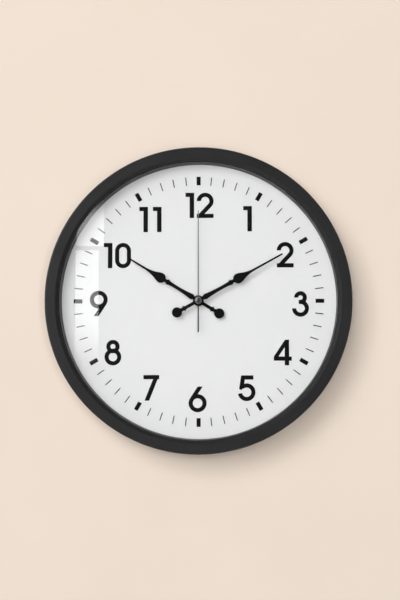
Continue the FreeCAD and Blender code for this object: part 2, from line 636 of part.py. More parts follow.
def curve(points):
    """The arc through three points."""
    return Part.Arc(*[flat(*point) for point in points]).toShape()


def line(first, second):
    """A straight edge."""
    return Part.LineSegment(flat(*first), flat(*second)).toShape()


def around(centre, radius, degrees):
    """A point at an angle from +X towards +Z."""
    angle = math.radians(degrees)
    return (centre[0] + radius * math.cos(angle), centre[1] + radius * math.sin(angle))


# ---------------------------------------------------------------------------------------------------
# Gears
# ---------------------------------------------------------------------------------------------------
PRESSURE_ANGLE = math.radians(30)
ADDENDUM = 0.8
DEDENDUM = 1.05
THINNING = 0.15


def tooth_face(teeth, module, phase):
    """The outline of an involute gear about the origin, one tooth's middle at the phase angle."""
    pitch_radius = module * teeth / 2
    base_radius = pitch_radius * math.cos(PRESSURE_ANGLE)
    root_radius = pitch_radius - DEDENDUM * module
    tip_radius = pitch_radius + ADDENDUM * module
    involute = math.tan(PRESSURE_ANGLE) - PRESSURE_ANGLE
    half_at_pitch = (math.pi / 2 - THINNING) / teeth

    def half_angle(radius):
        slope = math.acos(base_radius / radius)
        return half_at_pitch + involute - math.tan(slope) + slope

    start_radius = max(root_radius, base_radius)
    middle_radius = (start_radius + tip_radius) / 2
    edges = []
    for tooth in range(int(teeth)):
        middle = phase + 2 * math.pi * tooth / teeth
        following = phase + 2 * math.pi * (tooth + 1) / teeth

        def spot(radius, turn):
            return (radius * math.cos(turn), radius * math.sin(turn))

        rising = [spot(radius, middle - half_angle(radius))
                  for radius in (start_radius, middle_radius, tip_radius)]
        falling = [spot(radius, middle + half_angle(radius))
                   for radius in (tip_radius, middle_radius, start_radius)]
        root_turn = half_angle(start_radius)
        root_here = spot(root_radius, middle + root_turn)
        root_next = spot(root_radius, following - root_turn)
        if start_radius > root_radius:
            edges.append(line(spot(root_radius, middle - root_turn), rising[0]))
        edges.append(curve(rising))
        edges.append(curve([rising[-1], spot(tip_radius, middle), falling[0]]))
        edges.append(curve(falling))
        if start_radius > root_radius:
            edges.append(line(falling[-1], root_here))
        edges.append(curve([root_here, spot(root_radius, (middle + following) / 2), root_next]))
    return Part.Face(Part.Wire(edges))


def meshing_phase(phase, teeth, other_teeth, direction):
    """The phase of a gear that meshes with another, seen from it in a direction in degrees."""
    line_angle = math.radians(direction)
    offset = (line_angle - phase) * teeth / (2 * math.pi)
    return line_angle + math.pi - (0.5 - offset) * 2 * math.pi / other_teeth


def gear(name, teeth, module, phase, centre, back, front):
    """The toothed part of a gear, between two levels."""
    item = outline_solid(name, [[tooth_face(value(teeth), module, phase)]], back, f"({front}) - ({back})")
    item.Placement.Base = Vector(value(centre[0]), -value(back), value(centre[1]))
    return item


def module_of(distance, first_teeth, second_teeth):
    """The module of two gears at a centre distance."""
    return value(f"2 * {distance} / ({first_teeth} + {second_teeth})")


CENTRE = ("0", "0")
ROTOR = ("rotor_across", "rotor_up")
FIFTH = ("fifth_across", "fifth_up")
THIRD = ("third_across", "third_up")
MOTION = ("motion_across", "motion_up")
KNOB = ("knob_across", "knob_up")


# ---------------------------------------------------------------------------------------------------
# The case
# ---------------------------------------------------------------------------------------------------
def make_bezel():
    """The black ring: a face, an outer wall and an inner skirt, with posts between them for screws."""
    body = new_body("front_bezel")
    turned(body, [
        ("window_radius", "lens_front"), ("skirt_inside", "lens_front"), ("skirt_inside", "skirt_back"),
        ("skirt_outside", "skirt_back"), ("skirt_outside", "face_back"), ("wall_inside", "face_back"),
        ("wall_inside", "0"), ("case_radius", "0"), ("case_radius", "case_depth"),
        ("bevel_radius", "case_depth"), ("window_radius", "bevel_back")])
    first_post = polar("boss_ring_radius", "180 / screw_count")
    sketch = new_sketch(body, "XZ_Plane", "cover_front")
    draw_circle(sketch, "boss_diameter / 2", first_post)
    post = pad(body, sketch, "face_back + boss_root - cover_front")
    doc.recompute()
    repeat(body, post, "screw_count")
    sketch = new_sketch(body, "XZ_Plane", "cover_front")
    draw_circle(sketch, "screw_diameter / 2 + pilot_clearance", first_post)
    pilot = pocket(body, sketch, "pilot_depth")
    doc.recompute()
    pilots = repeat(body, pilot, "screw_count")
    doc.recompute()
    radius, front = value("case_radius"), value("case_depth")
    edges = [f"Edge{number}" for number, edge in enumerate(pilots.Shape.Edges, start=1)
             if edge.Curve.TypeId == "Part::GeomCircle" and abs(edge.Curve.Radius - radius) < 1e-6
             and abs(edge.Curve.Center.y + front) < 1e-6]
    rounding = body.newObject("PartDesign::Fillet", "bezel_rounding")
    rounding.Base = (pilots, edges)
    bind(rounding, {"Radius": "edge_rounding"})


def make_glass_and_dial():
    """The glass, the black wall behind it and the white dial, one behind another in the ring."""
    disc(new_body("glass_lens"), "lens_back", "lens_front", "lens_radius")
    turned(new_body("spacer_ring"), [
        ("lens_radius", "dial_front"), ("lens_radius", "lens_back"),
        ("window_radius - spacer_front_step", "lens_back"),
        ("window_radius - spacer_back_step", "dial_front")])
    disc(new_body("dial_plate"), "dial_back", "dial_front", "lens_radius",
         [("bush_radius + pipe_clearance",)])


def make_rear_cover():
    """The flat rear cover, with an opening for the movement, and the ring that holds the dial forward."""
    disc(new_body("dial_retainer"), "cover_front", "dial_back", "lens_radius",
         [("lens_radius - retainer_thickness",)])
    body = new_body("rear_cover")
    disc(body, "cover_back", "cover_front", "cover_radius")
    half = "movement_half + cover_opening_clearance"
    sketch = new_sketch(body, "XZ_Plane", "cover_back")
    draw_polygon(sketch, rectangle(f"-({half})", half, "movement_bottom - cover_opening_clearance", half))
    pocket(body, sketch, "cover_thickness")
    sketch = new_sketch(body, "XZ_Plane", "cover_back")
    reach = "keyhole_radius + keyhole_margin"
    draw_polygon(sketch, rectangle(f"-({reach})", reach, f"hanger_level - ({reach})",
                                   "hanger_level + keyslot_length + keyslot_margin"))
    pocket(body, sketch, "cover_thickness")
    sketch = new_sketch(body, "XZ_Plane", "cover_back")
    for side in ("-", ""):
        draw_circle(sketch, "rivet_radius", (f"{side}rivet_spacing / 2", "hanger_level"))
    pocket(body, sketch, "cover_thickness")
    doc.recompute()
    sketch = new_sketch(body, "XZ_Plane", "cover_back")
    draw_circle(sketch, "screw_diameter / 2 + screw_hole_clearance",
                polar("boss_ring_radius", "180 / screw_count"))
    hole = pocket(body, sketch, "cover_thickness")
    doc.recompute()
    repeat(body, hole, "screw_count")


def make_cover_screws():
    """The screws that hold the rear cover to the ring: one round head and shank, repeated."""
    shanks = []
    for number in range(int(value("screw_count"))):
        centre = polar("boss_ring_radius", f"(180 + 360 * {number}) / screw_count")
        shank = rod(f"cover_shank_{number}", centre, "cover_back", "cover_back + screw_length",
                    "screw_diameter / 2")
        head = rod(f"cover_head_{number}", centre, "cover_back - screw_head_height", "cover_back",
                   "screw_head_diameter / 2")
        slot = block(f"cover_slot_{number}", f"{centre[0]} - screw_head_diameter",
                     f"{centre[0]} + screw_head_diameter", "cover_back - 2 * screw_head_height",
                     "cover_back - screw_head_height / 2", f"{centre[1]} - screw_slot_width / 2",
                     f"{centre[1]} + screw_slot_width / 2")
        shanks.append(cut(f"cover_screw_{number}", join(f"cover_blank_{number}", [shank, head]), [slot]))
    group = doc.addObject("Part::Compound", "cover_screws")
    group.Links = shanks
    finish_node(group, "cover_screws")


def make_hanger():
    """The steel plate with the keyhole that drops over a screw in the wall, and its two rivets."""
    body = new_body("hanger_plate")
    half_width, half_height = "hanger_width / 2", "hanger_height / 2"
    middle = "hanger_level + keyslot_length / 2"
    sketch = new_sketch(body, "XZ_Plane", "hanger_back")
    draw_polygon(sketch, rectangle(f"-{half_width}", half_width, f"{middle} - {half_height}",
                                   f"{middle} + {half_height}"))
    pad(body, sketch, "hanger_thickness")
    sketch = new_sketch(body, "XZ_Plane", "hanger_back")
    draw_circle(sketch, "keyhole_radius", ("0", "hanger_level"))
    pocket(body, sketch, "hanger_thickness")
    slot_top = "hanger_level + keyslot_length - keyslot_width / 2"
    sketch = new_sketch(body, "XZ_Plane", "hanger_back")
    draw_polygon(sketch, rectangle("-keyslot_width / 2", "keyslot_width / 2", "hanger_level", slot_top))
    pocket(body, sketch, "hanger_thickness")
    sketch = new_sketch(body, "XZ_Plane", "hanger_back")
    draw_circle(sketch, "keyslot_width / 2", ("0", slot_top))
    pocket(body, sketch, "hanger_thickness")
    sketch = new_sketch(body, "XZ_Plane", "hanger_back")
    for side in ("-", ""):
        draw_circle(sketch, "rivet_radius", (f"{side}rivet_spacing / 2", "hanger_level"))
    pocket(body, sketch, "hanger_thickness")
    rivets = []
    for side in ("-", ""):
        centre = (f"{side}rivet_spacing / 2", "hanger_level")
        name = "left" if side else "right"
        rivets.append(join(f"{name}_rivet", [
            rod(f"{name}_rivet_shank", centre, "hanger_back", "cover_front", "rivet_radius"),
            rod(f"{name}_rivet_rear", centre, "hanger_back - rivet_head_height", "hanger_back",
                "rivet_head_radius"),
            rod(f"{name}_rivet_inner", centre, "cover_front", "cover_front + rivet_head_height",
                "rivet_head_radius")]))
    group = doc.addObject("Part::Compound", "hanger_rivets")
    group.Links = rivets
    finish_node(group, "hanger_rivets")


# ---------------------------------------------------------------------------------------------------
# The print on the dial
# ---------------------------------------------------------------------------------------------------
def arc_band(centre, outer, stroke, start, end):
    """Part of a flat ring, between two angles from +X towards +Z."""
    inner = outer - stroke
    if end - start >= 360:
        rings = [Part.Face(Part.Wire(Part.Circle(flat(*centre), Vector(0, 1, 0), radius).toShape()))
                 for radius in (outer, inner)]
        return rings[0].cut(rings[1])
    half = (start + end) / 2
    return Part.Face(Part.Wire([
        curve([around(centre, outer, angle) for angle in (start, half, end)]),
        line(around(centre, outer, end), around(centre, inner, end)),
        curve([around(centre, inner, angle) for angle in (end, half, start)]),
        line(around(centre, inner, start), around(centre, outer, start))]))


def slab(top, bottom, width):
    """A slanted stroke whose ends are cut level: width is measured level too."""
    return polygon_face([(top[0] - width / 2, top[1]), (top[0] + width / 2, top[1]),
                         (bottom[0] + width / 2, bottom[1]), (bottom[0] - width / 2, bottom[1])])


def box_face(left, bottom, right, top):
    """A rectangle."""
    return polygon_face([(left, bottom), (right, bottom), (right, top), (left, top)])


def digit_faces(digit, height, stroke):
    """The strokes of a digit about the middle of its height, and its width."""
    top, bottom = height / 2, -height / 2
    bowl = height * 0.33
    if digit == "0":
        bowl = height * 0.315
        straight = top - bowl
        return [arc_band((0, straight), bowl, stroke, 0, 180),
                arc_band((0, -straight), bowl, stroke, 180, 360),
                box_face(-bowl, -straight, stroke - bowl, straight),
                box_face(bowl - stroke, -straight, bowl, straight)], 2 * bowl
    if digit == "1":
        stem = stroke * 1.08
        reach = height * 0.17
        return [box_face(reach - stem, bottom, reach, top),
                box_face(-reach, top - stroke, reach, top)], 2 * reach
    if digit == "2":
        centre = (0, top - bowl)
        middle = bowl - stroke / 2
        foot = (-bowl + stroke * 0.72, bottom + stroke * 0.5)
        away = math.hypot(foot[0] - centre[0], foot[1] - centre[1])
        to_foot = math.degrees(math.atan2(foot[1] - centre[1], foot[0] - centre[0]))
        touch = to_foot + math.degrees(math.acos(middle / away))
        meeting = around(centre, middle, touch)
        tilt = touch - 90
        side = (math.cos(math.radians(touch)) * stroke / 2, math.sin(math.radians(touch)) * stroke / 2)
        past = around(foot, stroke * 0.9, tilt)
        diagonal = polygon_face([
            (meeting[0] + side[0], meeting[1] + side[1]), (meeting[0] - side[0], meeting[1] - side[1]),
            (past[0] - side[0], past[1] - side[1]), (past[0] + side[0], past[1] + side[1])])
        window = box_face(-bowl, bottom, bowl, centre[1] + bowl)
        return [arc_band(centre, bowl, stroke, touch, 180), diagonal.common(window),
                box_face(-bowl, bottom, bowl, bottom + stroke)], 2 * bowl
    if digit == "3":
        small = (height - 2 * bowl + stroke) / 2
        upper, lower = (0, top - small), (0, bottom + bowl)
        return [arc_band(upper, small, stroke, -90, 180), arc_band(lower, bowl, stroke, -180, 90),
                box_face(-stroke * 0.42, lower[1] + bowl - stroke, 0, lower[1] + bowl)], 2 * bowl
    if digit == "4":
        half = height * 0.35
        stem_right = half - stroke * 0.62
        stem_left = stem_right - stroke * 1.05
        bar_bottom = bottom + height * 0.18
        bar_top = bar_bottom + stroke
        outer = polygon_face([(-half, bar_bottom), (half, bar_bottom), (half, bar_top), (stem_right, bar_top),
                              (stem_right, top), (stem_left + 0.4, top), (-half, bar_top)])
        slope = (top - bar_top) / (stem_left + 0.4 + half)
        inner_left = -half + stroke * 1.12
        inner = polygon_face([(stem_left, bar_top), (inner_left, bar_top),
                              (stem_left, bar_top + slope * (stem_left - inner_left))])
        return [outer.cut(inner), box_face(stem_left, bottom, stem_right, bar_bottom)], 2 * half
    if digit == "5":
        large = height * 0.345
        centre = (0, bottom + large)
        start = 190 - 360
        end = 134
        corner = around(centre, large - stroke * 0.55, end)
        flag_left = -large * 0.62
        return [arc_band(centre, large, stroke, start, end),
                polygon_face([(flag_left, top), (flag_left + stroke, top),
                              (corner[0] + stroke * 0.42, corner[1] + stroke * 0.1),
                              (corner[0] - stroke * 0.1, corner[1] - stroke * 0.62),
                              (corner[0] - stroke * 0.72, corner[1] - stroke * 0.4)]),
                box_face(flag_left + 0.2, top - stroke, large * 0.76, top)], 2 * large
    if digit in "69":
        large = height * 0.352
        centre = (0, bottom + large)
        middle = large - stroke / 2
        head = (height * 0.1, top)
        away = math.hypot(head[0] - centre[0], head[1] - centre[1])
        to_head = math.degrees(math.atan2(head[1] - centre[1], head[0] - centre[0]))
        touch = around(centre, middle, to_head + math.degrees(math.acos(middle / away)))
        lean = math.atan2(head[0] - touch[0], head[1] - touch[1])
        faces = [arc_band(centre, large, stroke, 0, 360), slab(head, touch, stroke / math.cos(lean))]
        if digit == "9":
            for face in faces:
                face.rotate(Vector(), Vector(0, 1, 0), 180)
        return faces, 2 * large
    if digit == "7":
        half = height * 0.31
        foot = (-half + height * 0.135, bottom)
        head = (half - stroke * 0.55, top)
        return [box_face(-half, top - stroke, half, top), slab(head, foot, stroke * 1.1)], 2 * half
    small = height * 0.262
    return [arc_band((0, top - small), small, stroke, 0, 360),
            arc_band((0, bottom + bowl), bowl, stroke, 0, 360)], 2 * bowl


# Each figure stands on the figure ring, and is set off from it by the print's own spacing.
FIGURE_OFFSETS = {
    12: (0.9, -0.4), 1: (0.7, -1.1), 2: (2.8, -2.1), 3: (4.9, -3.1), 4: (0, -3.1), 5: (-0.6, -3.2),
    6: (-1, -1.3), 7: (1.2, -2.8), 8: (-1.9, -3.1), 9: (-3.4, -2.1), 10: (2.2, -2.4), 11: (-0.1, -1.5)}


def make_figures():
    """The upright figures 1 to 12, as thin print on the dial."""
    height, stroke, ring = value("figure_height"), value("figure_stroke"), value("figure_ring_radius")
    outlines = []
    for hour, offset in FIGURE_OFFSETS.items():
        angle = math.radians(30 * hour)
        drawn = [digit_faces(digit, height, stroke) for digit in str(hour)]
        gap = value("eleven_gap" if hour == 11 else "figure_gap")
        across = -(sum(width for _, width in drawn) + gap * (len(drawn) - 1)) / 2
        for strokes, width in drawn:
            for stroke_face in strokes:
                stroke_face.translate(flat(ring * math.sin(angle) + offset[0] + across + width / 2,
                                           ring * math.cos(angle) + offset[1]))
            outlines.append(strokes)
            across += width + gap
    finish_node(outline_solid("figures", outlines, "dial_front", "print_thickness"), "printed_figures")


def make_marks(label, length, width, numbers):
    """Marks around the edge of the dial, at the given minutes."""
    middle, long, wide = value("mark_ring_radius"), value(length), value(width)
    faces = []
    for minute in numbers:
        face = box_face(-wide / 2, middle - long / 2, wide / 2, middle + long / 2)
        face.rotate(Vector(), Vector(0, 1, 0), 6 * minute)
        faces.append([face])
    finish_node(outline_solid(label + "_plates", faces, "dial_front", "print_thickness"), label)


# ---------------------------------------------------------------------------------------------------
# The movement: its case
# ---------------------------------------------------------------------------------------------------
def make_rear_case():
    """The rear half of the movement's case, with the battery bay open to the back."""
    body = new_body("movement_rear_case")
    sketch = new_sketch(body, "XZ_Plane", "movement_back")
    draw_polygon(sketch, rectangle("-movement_half", "movement_half", "movement_bottom", "movement_half"))
    pad(body, sketch, "rear_half_depth")
    sketch = new_sketch(body, "XZ_Plane", "room_back")
    draw_polygon(sketch, rectangle("-room_half", "room_half", "partition_top", "room_half"))
    pocket(body, sketch, "parting - room_back")
    sketch = new_sketch(body, "XZ_Plane", "movement_back")
    draw_polygon(sketch, rectangle("-room_half", "room_half", "bay_bottom", "bay_top"))
    pocket(body, sketch, "rear_half_depth")
    for centre in (CENTRE, FIFTH, THIRD, ROTOR):
        sketch = new_sketch(body, "XZ_Plane", "room_back")
        draw_circle(sketch, "pivot_boss_radius", centre)
        pad(body, sketch, "pivot_boss_height")
    for centre, radius in ((CENTRE, "second_arbor_radius"), (FIFTH, "arbor_radius"),
                           (THIRD, "third_arbor_radius"), (ROTOR, "arbor_radius")):
        sketch = new_sketch(body, "XZ_Plane", "pivot_back")
        draw_circle(sketch, f"{radius} + pivot_clearance", centre)
        pocket(body, sketch, "boss_front - pivot_back")
    sketch = new_sketch(body, "XZ_Plane", "room_back")
    draw_circle(sketch, "setting_shaft_radius + knob_boss_wall", KNOB)
    pad(body, sketch, "knob_boss_height")
    sketch = new_sketch(body, "XZ_Plane", "movement_back")
    draw_circle(sketch, "setting_shaft_radius + pivot_clearance", KNOB)
    pocket(body, sketch, "movement_wall + knob_boss_height")
    for centre in plate_posts():
        sketch = new_sketch(body, "XZ_Plane", "room_back")
        draw_circle(sketch, "plate_post_radius", centre)
        pad(body, sketch, "parting - room_back")
    for leg in ("left_leg", "right_leg"):
        sketch = new_sketch(body, "XZ_Plane", "room_back")
        draw_circle(sketch, "leg_post_radius", (leg, "coil_level"))
        pad(body, sketch, "core_back - room_back")
        sketch = new_sketch(body, "XZ_Plane", "room_back")
        draw_circle(sketch, "stator_screw_radius", (leg, "coil_level"))
        pocket(body, sketch, "core_back - room_back")
    for centre in board_posts():
        sketch = new_sketch(body, "XZ_Plane", "room_back")
        draw_circle(sketch, "board_post_radius", centre)
        pad(body, sketch, "board_back - room_back")


def plate_posts():
    """Where the middle plate stands on the rear case."""
    out = "room_half - plate_post_inset"
    low = "partition_top + plate_post_inset"
    return [(out, out), (f"-({out})", out), (out, low), (f"-({out})", low)]


def board_posts():
    """Where the circuit board stands on the rear case."""
    return [("board_left + board_post_inset", "board_bottom + board_post_inset"),
            ("board_right - board_post_inset", "board_top - board_post_inset")]


def make_front_case():
    """The front half of the movement's case, which the threaded bush is set in."""
    body = new_body("movement_front_case")
    sketch = new_sketch(body, "XZ_Plane", "parting")
    draw_polygon(sketch, rectangle("-movement_half", "movement_half", "movement_bottom", "movement_half"))
    pad(body, sketch, "movement_front - parting")
    sketch = new_sketch(body, "XZ_Plane", "parting")
    draw_polygon(sketch, rectangle("-room_half", "room_half", "partition_top", "room_half"))
    pocket(body, sketch, "room_front - parting")
    sketch = new_sketch(body, "XZ_Plane", "parting")
    draw_polygon(sketch, rectangle("-room_half", "room_half", "bay_bottom", "bay_top"))
    pocket(body, sketch, "room_front - parting")
    bearing_back = "setting_pivot_front - setting_pivot_depth"
    sketch = new_sketch(body, "XZ_Plane", bearing_back)
    draw_circle(sketch, "setting_pivot_radius + setting_boss_wall", KNOB)
    pad(body, sketch, "room_front - setting_pivot_front + setting_pivot_depth")
    sketch = new_sketch(body, "XZ_Plane", "room_front")
    draw_circle(sketch, "bush_flange_radius")
    pocket(body, sketch, "movement_wall")
    sketch = new_sketch(body, "XZ_Plane", bearing_back)
    draw_circle(sketch, "setting_pivot_radius + pivot_clearance", KNOB)
    pocket(body, sketch, "setting_pivot_depth + hub_clearance")
    sketch = new_sketch(body, "XZ_Plane", "room_front")
    draw_circle(sketch, "third_arbor_radius + pivot_clearance", THIRD)
    pocket(body, sketch, "movement_wall / 2")


def make_middle_plate():
    """The plate between the two halves, with the post that the minute-work wheel turns on."""
    body = new_body("middle_plate")
    edge = "room_half - plate_clearance"
    sketch = new_sketch(body, "XZ_Plane", "parting")
    draw_polygon(sketch, rectangle(f"-({edge})", edge, "partition_top + plate_clearance", edge))
    pad(body, sketch, "plate_thickness")
    holes = ((CENTRE, "second_arbor_radius + pivot_clearance"), (FIFTH, "arbor_radius + pivot_clearance"),
             (ROTOR, "arbor_radius + pivot_clearance"), (THIRD, "third_hub_radius + hub_clearance"),
             (KNOB, "setting_shaft_radius + pivot_clearance"))
    for centre, radius in holes:
        sketch = new_sketch(body, "XZ_Plane", "parting")
        draw_circle(sketch, radius, centre)
        pocket(body, sketch, "plate_thickness")
    sketch = new_sketch(body, "XZ_Plane", "plate_front")
    draw_circle(sketch, "post_shoulder_radius", MOTION)
    pad(body, sketch, "motion_hub_back - post_end - plate_front")
    sketch = new_sketch(body, "XZ_Plane", "plate_front")
    draw_circle(sketch, "post_radius", MOTION)
    pad(body, sketch, "motion_pinion_front + post_end - plate_front")


def make_bush():
    """The threaded bush that clamps the movement to the dial, with its washers and its round nut."""
    turns = int(value("(bush_front - dial_front - 2 * thread_lead) / thread_pitch"))
    crest = [("bush_radius", "dial_front")]
    for number in range(turns):
        crest.append(("bush_radius", f"dial_front + thread_lead + {number} * thread_pitch"))
        crest.append(("bush_radius - thread_depth",
                      f"dial_front + thread_lead + {number + 0.5} * thread_pitch"))
    crest.append(("bush_radius", f"dial_front + thread_lead + {turns} * thread_pitch"))
    turned(new_body("centre_bush"), [
        ("bush_bore", "room_front"), ("bush_flange_radius", "room_front"),
        ("bush_flange_radius", "movement_front"), ("bush_radius", "movement_front")] + crest[1:] + [
        ("bush_radius", "bush_front"), ("bush_bore", "bush_front")])
    disc(new_body("cushion_washer"), "movement_front", "dial_back", "2 * bush_flange_radius",
         [("bush_radius + pipe_clearance",)])
    disc(new_body("dial_washer"), "dial_front", "washer_front", "nut_radius",
         [("bush_radius + pipe_clearance",)])
    body = new_body("round_nut")
    disc(body, "washer_front", "nut_front", "nut_radius", [("bush_radius",)])
    sketch = new_sketch(body, "XZ_Plane", "nut_front - nut_slot_depth")
    draw_polygon(sketch, rectangle("-nut_slot_width / 2", "nut_slot_width / 2", "bush_radius - thread_depth",
                                   "nut_radius + thread_depth"))
    slot = pocket(body, sketch, "nut_slot_depth")
    doc.recompute()
    repeat(body, slot, "nut_slots")


# ---------------------------------------------------------------------------------------------------
# The movement: motor and circuit
# ---------------------------------------------------------------------------------------------------
def make_stator():
    """The stator plate around the rotor, with legs that reach up to the coil's core."""
    body = new_body("stator")
    ring_radius = "magnet_radius + stator_gap + stator_rim"
    half_leg = "leg_width / 2"
    sketch = new_sketch(body, "XZ_Plane", "stator_back")
    draw_circle(sketch, ring_radius, ROTOR)
    pad(body, sketch, "stator_thickness")
    sketch = new_sketch(body, "XZ_Plane", "stator_back")
    draw_polygon(sketch, rectangle(f"left_leg - {half_leg}", f"left_leg + {half_leg}", "rotor_up",
                                   "coil_level + leg_end"))
    pad(body, sketch, "stator_thickness")
    sketch = new_sketch(body, "XZ_Plane", "stator_back")
    low = "rotor_up + stator_arm_start"
    high = f"{low} + stator_arm_width"
    draw_polygon(sketch, [
        ("rotor_across", low), (f"right_leg + {half_leg}", low),
        (f"right_leg + {half_leg}", "coil_level + leg_end"),
        (f"right_leg - {half_leg}", "coil_level + leg_end"),
        (f"right_leg - {half_leg}", high), ("rotor_across", high)])
    pad(body, sketch, "stator_thickness")
    holes = [(ROTOR, "magnet_radius + stator_gap"), (("left_leg", "coil_level"), "stator_screw_radius"),
             (("right_leg", "coil_level"), "stator_screw_radius")]
    for centre, radius in holes:
        sketch = new_sketch(body, "XZ_Plane", "stator_back")
        draw_circle(sketch, radius, centre)
        pocket(body, sketch, "stator_thickness")


def make_coil():
    """The coil: an iron core, a bobbin with two flanges, and the copper winding."""
    half_leg = "leg_width / 2"
    bar = block("core_bar", f"left_leg - {half_leg}", f"right_leg + {half_leg}", "core_back", "stator_back",
                "coil_level - core_width / 2", "coil_level + core_width / 2")
    ends = [block(f"core_end_{leg}", f"{leg} - {half_leg}", f"{leg} + {half_leg}", "core_back", "stator_back",
                  "coil_level - leg_end", "coil_level + leg_end") for leg in ("left_leg", "right_leg")]
    holes = [rod(f"core_hole_{leg}", (leg, "coil_level"), "core_back - 1", "stator_back + 1",
                 "stator_screw_radius") for leg in ("left_leg", "right_leg")]
    finish_node(cut("core", join("core_blank", [bar] + ends), holes), "coil_core")

    start, end = "coil_offset - coil_length / 2", "coil_offset + coil_length / 2"
    barrel = bar_across("bobbin_barrel", start, end, "coil_centre_level", "coil_level", "bobbin_radius")
    flanges = [bar_across(f"bobbin_flange_{number}", first, f"{first} + flange_thickness",
                          "coil_centre_level", "coil_level", "coil_radius + pipe_clearance")
               for number, first in enumerate((f"{start} - flange_thickness", end))]
    slot = block("bobbin_slot", f"{start} - 2", f"{end} + 2", "core_back", "stator_back",
                 "coil_level - core_width / 2", "coil_level + core_width / 2")
    finish_node(cut("bobbin", join("bobbin_blank", [barrel] + flanges), [slot]), "coil_bobbin")
    copper = bar_across("winding_outside", start, end, "coil_centre_level", "coil_level", "coil_radius")
    inside = bar_across("winding_inside", start, end, "coil_centre_level", "coil_level", "bobbin_radius")
    finish_node(cut("winding", copper, [inside]), "coil_winding")

    screws = []
    for leg in ("left_leg", "right_leg"):
        centre = (leg, "coil_level")
        screws.append(join(f"stator_screw_{leg}", [
            rod(f"stator_shank_{leg}", centre, "room_back + stator_screw_gap", "stator_front",
                "stator_screw_radius"),
            rod(f"stator_head_{leg}", centre, "stator_front", "stator_front + stator_head_height",
                "2 * stator_screw_radius")]))
    group = doc.addObject("Part::Compound", "stator_screws")
    group.Links = screws
    finish_node(group, "stator_screws")


def make_circuit():
    """The circuit board with its quartz crystal and its moulded chip."""
    finish_node(block("board", "board_left", "board_right", "board_back", "board_front", "board_bottom",
                      "board_top"), "circuit_board")
    can = doc.addObject("Part::Cylinder", "crystal_can")
    bind(can, {"Placement.Base.x": "board_left + crystal_across",
               "Placement.Base.y": "-(board_front + crystal_radius)",
               "Placement.Base.z": "board_bottom + crystal_up", "Radius": "crystal_radius",
               "Height": "crystal_length"})
    finish_node(can, "quartz_crystal")
    dome = doc.addObject("Part::Cone", "chip_dome")
    dome.Placement = Placement(Vector(), Rotation(Vector(1, 0, 0), 90))
    bind(dome, {"Placement.Base.x": "board_left + chip_across", "Placement.Base.y": "-board_front",
                "Placement.Base.z": "board_bottom + chip_up", "Radius1": "chip_radius",
                "Radius2": "chip_top_radius", "Height": "chip_height"})
    finish_node(dome, "clock_chip")


def make_battery():
    """The AA cell and the two contacts that it lies between."""
    inner = "cell_radius - sleeve_thickness"
    finish_node(bar_across("cell_can", "cell_minus", "cell_plus", "cell_level", "cell_height", inner),
                "battery_can")
    outside = bar_across("sleeve_outside", "cell_minus + sleeve_rear_margin",
                         "cell_plus - sleeve_front_margin", "cell_level", "cell_height",
                         "cell_radius")
    inside = bar_across("sleeve_inside", "cell_minus", "cell_plus", "cell_level", "cell_height", inner)
    finish_node(cut("sleeve", outside, [inside]), "battery_sleeve")
    finish_node(bar_across("cell_cap", "cell_plus", "cell_plus + cell_cap_height", "cell_level",
                           "cell_height", "cell_cap_diameter / 2"), "battery_cap")

    body = new_body("positive_contact")
    wall, inner_face = "room_half", "room_half - contact_thickness"
    foot, head = "-(room_back + contact_foot)", "-(room_front - contact_head)"
    sketch = new_sketch(body, "XY_Plane", "cell_height - contact_width / 2")
    draw_polygon(sketch, [
        (wall, foot), (wall, head), (inner_face, head), (inner_face, foot)])
    pad(body, sketch, "contact_width")
    body = new_body("negative_contact")
    touch = "cell_minus - spring_gap"
    near = "-(cell_level + spring_start)"
    far = "-(cell_level + spring_start + spring_touch)"
    sketch = new_sketch(body, "XY_Plane", "cell_height - contact_width / 2")
    draw_polygon(sketch, [
        (f"-{wall}", foot), (f"-({inner_face})", foot), (f"-({inner_face})", "-(room_front - spring_bend)"),
        (f"{touch} - contact_thickness", near), (touch, near), (touch, far), (f"-({inner_face})", head),
        (f"-{wall}", head)])
    pad(body, sketch, "contact_width")


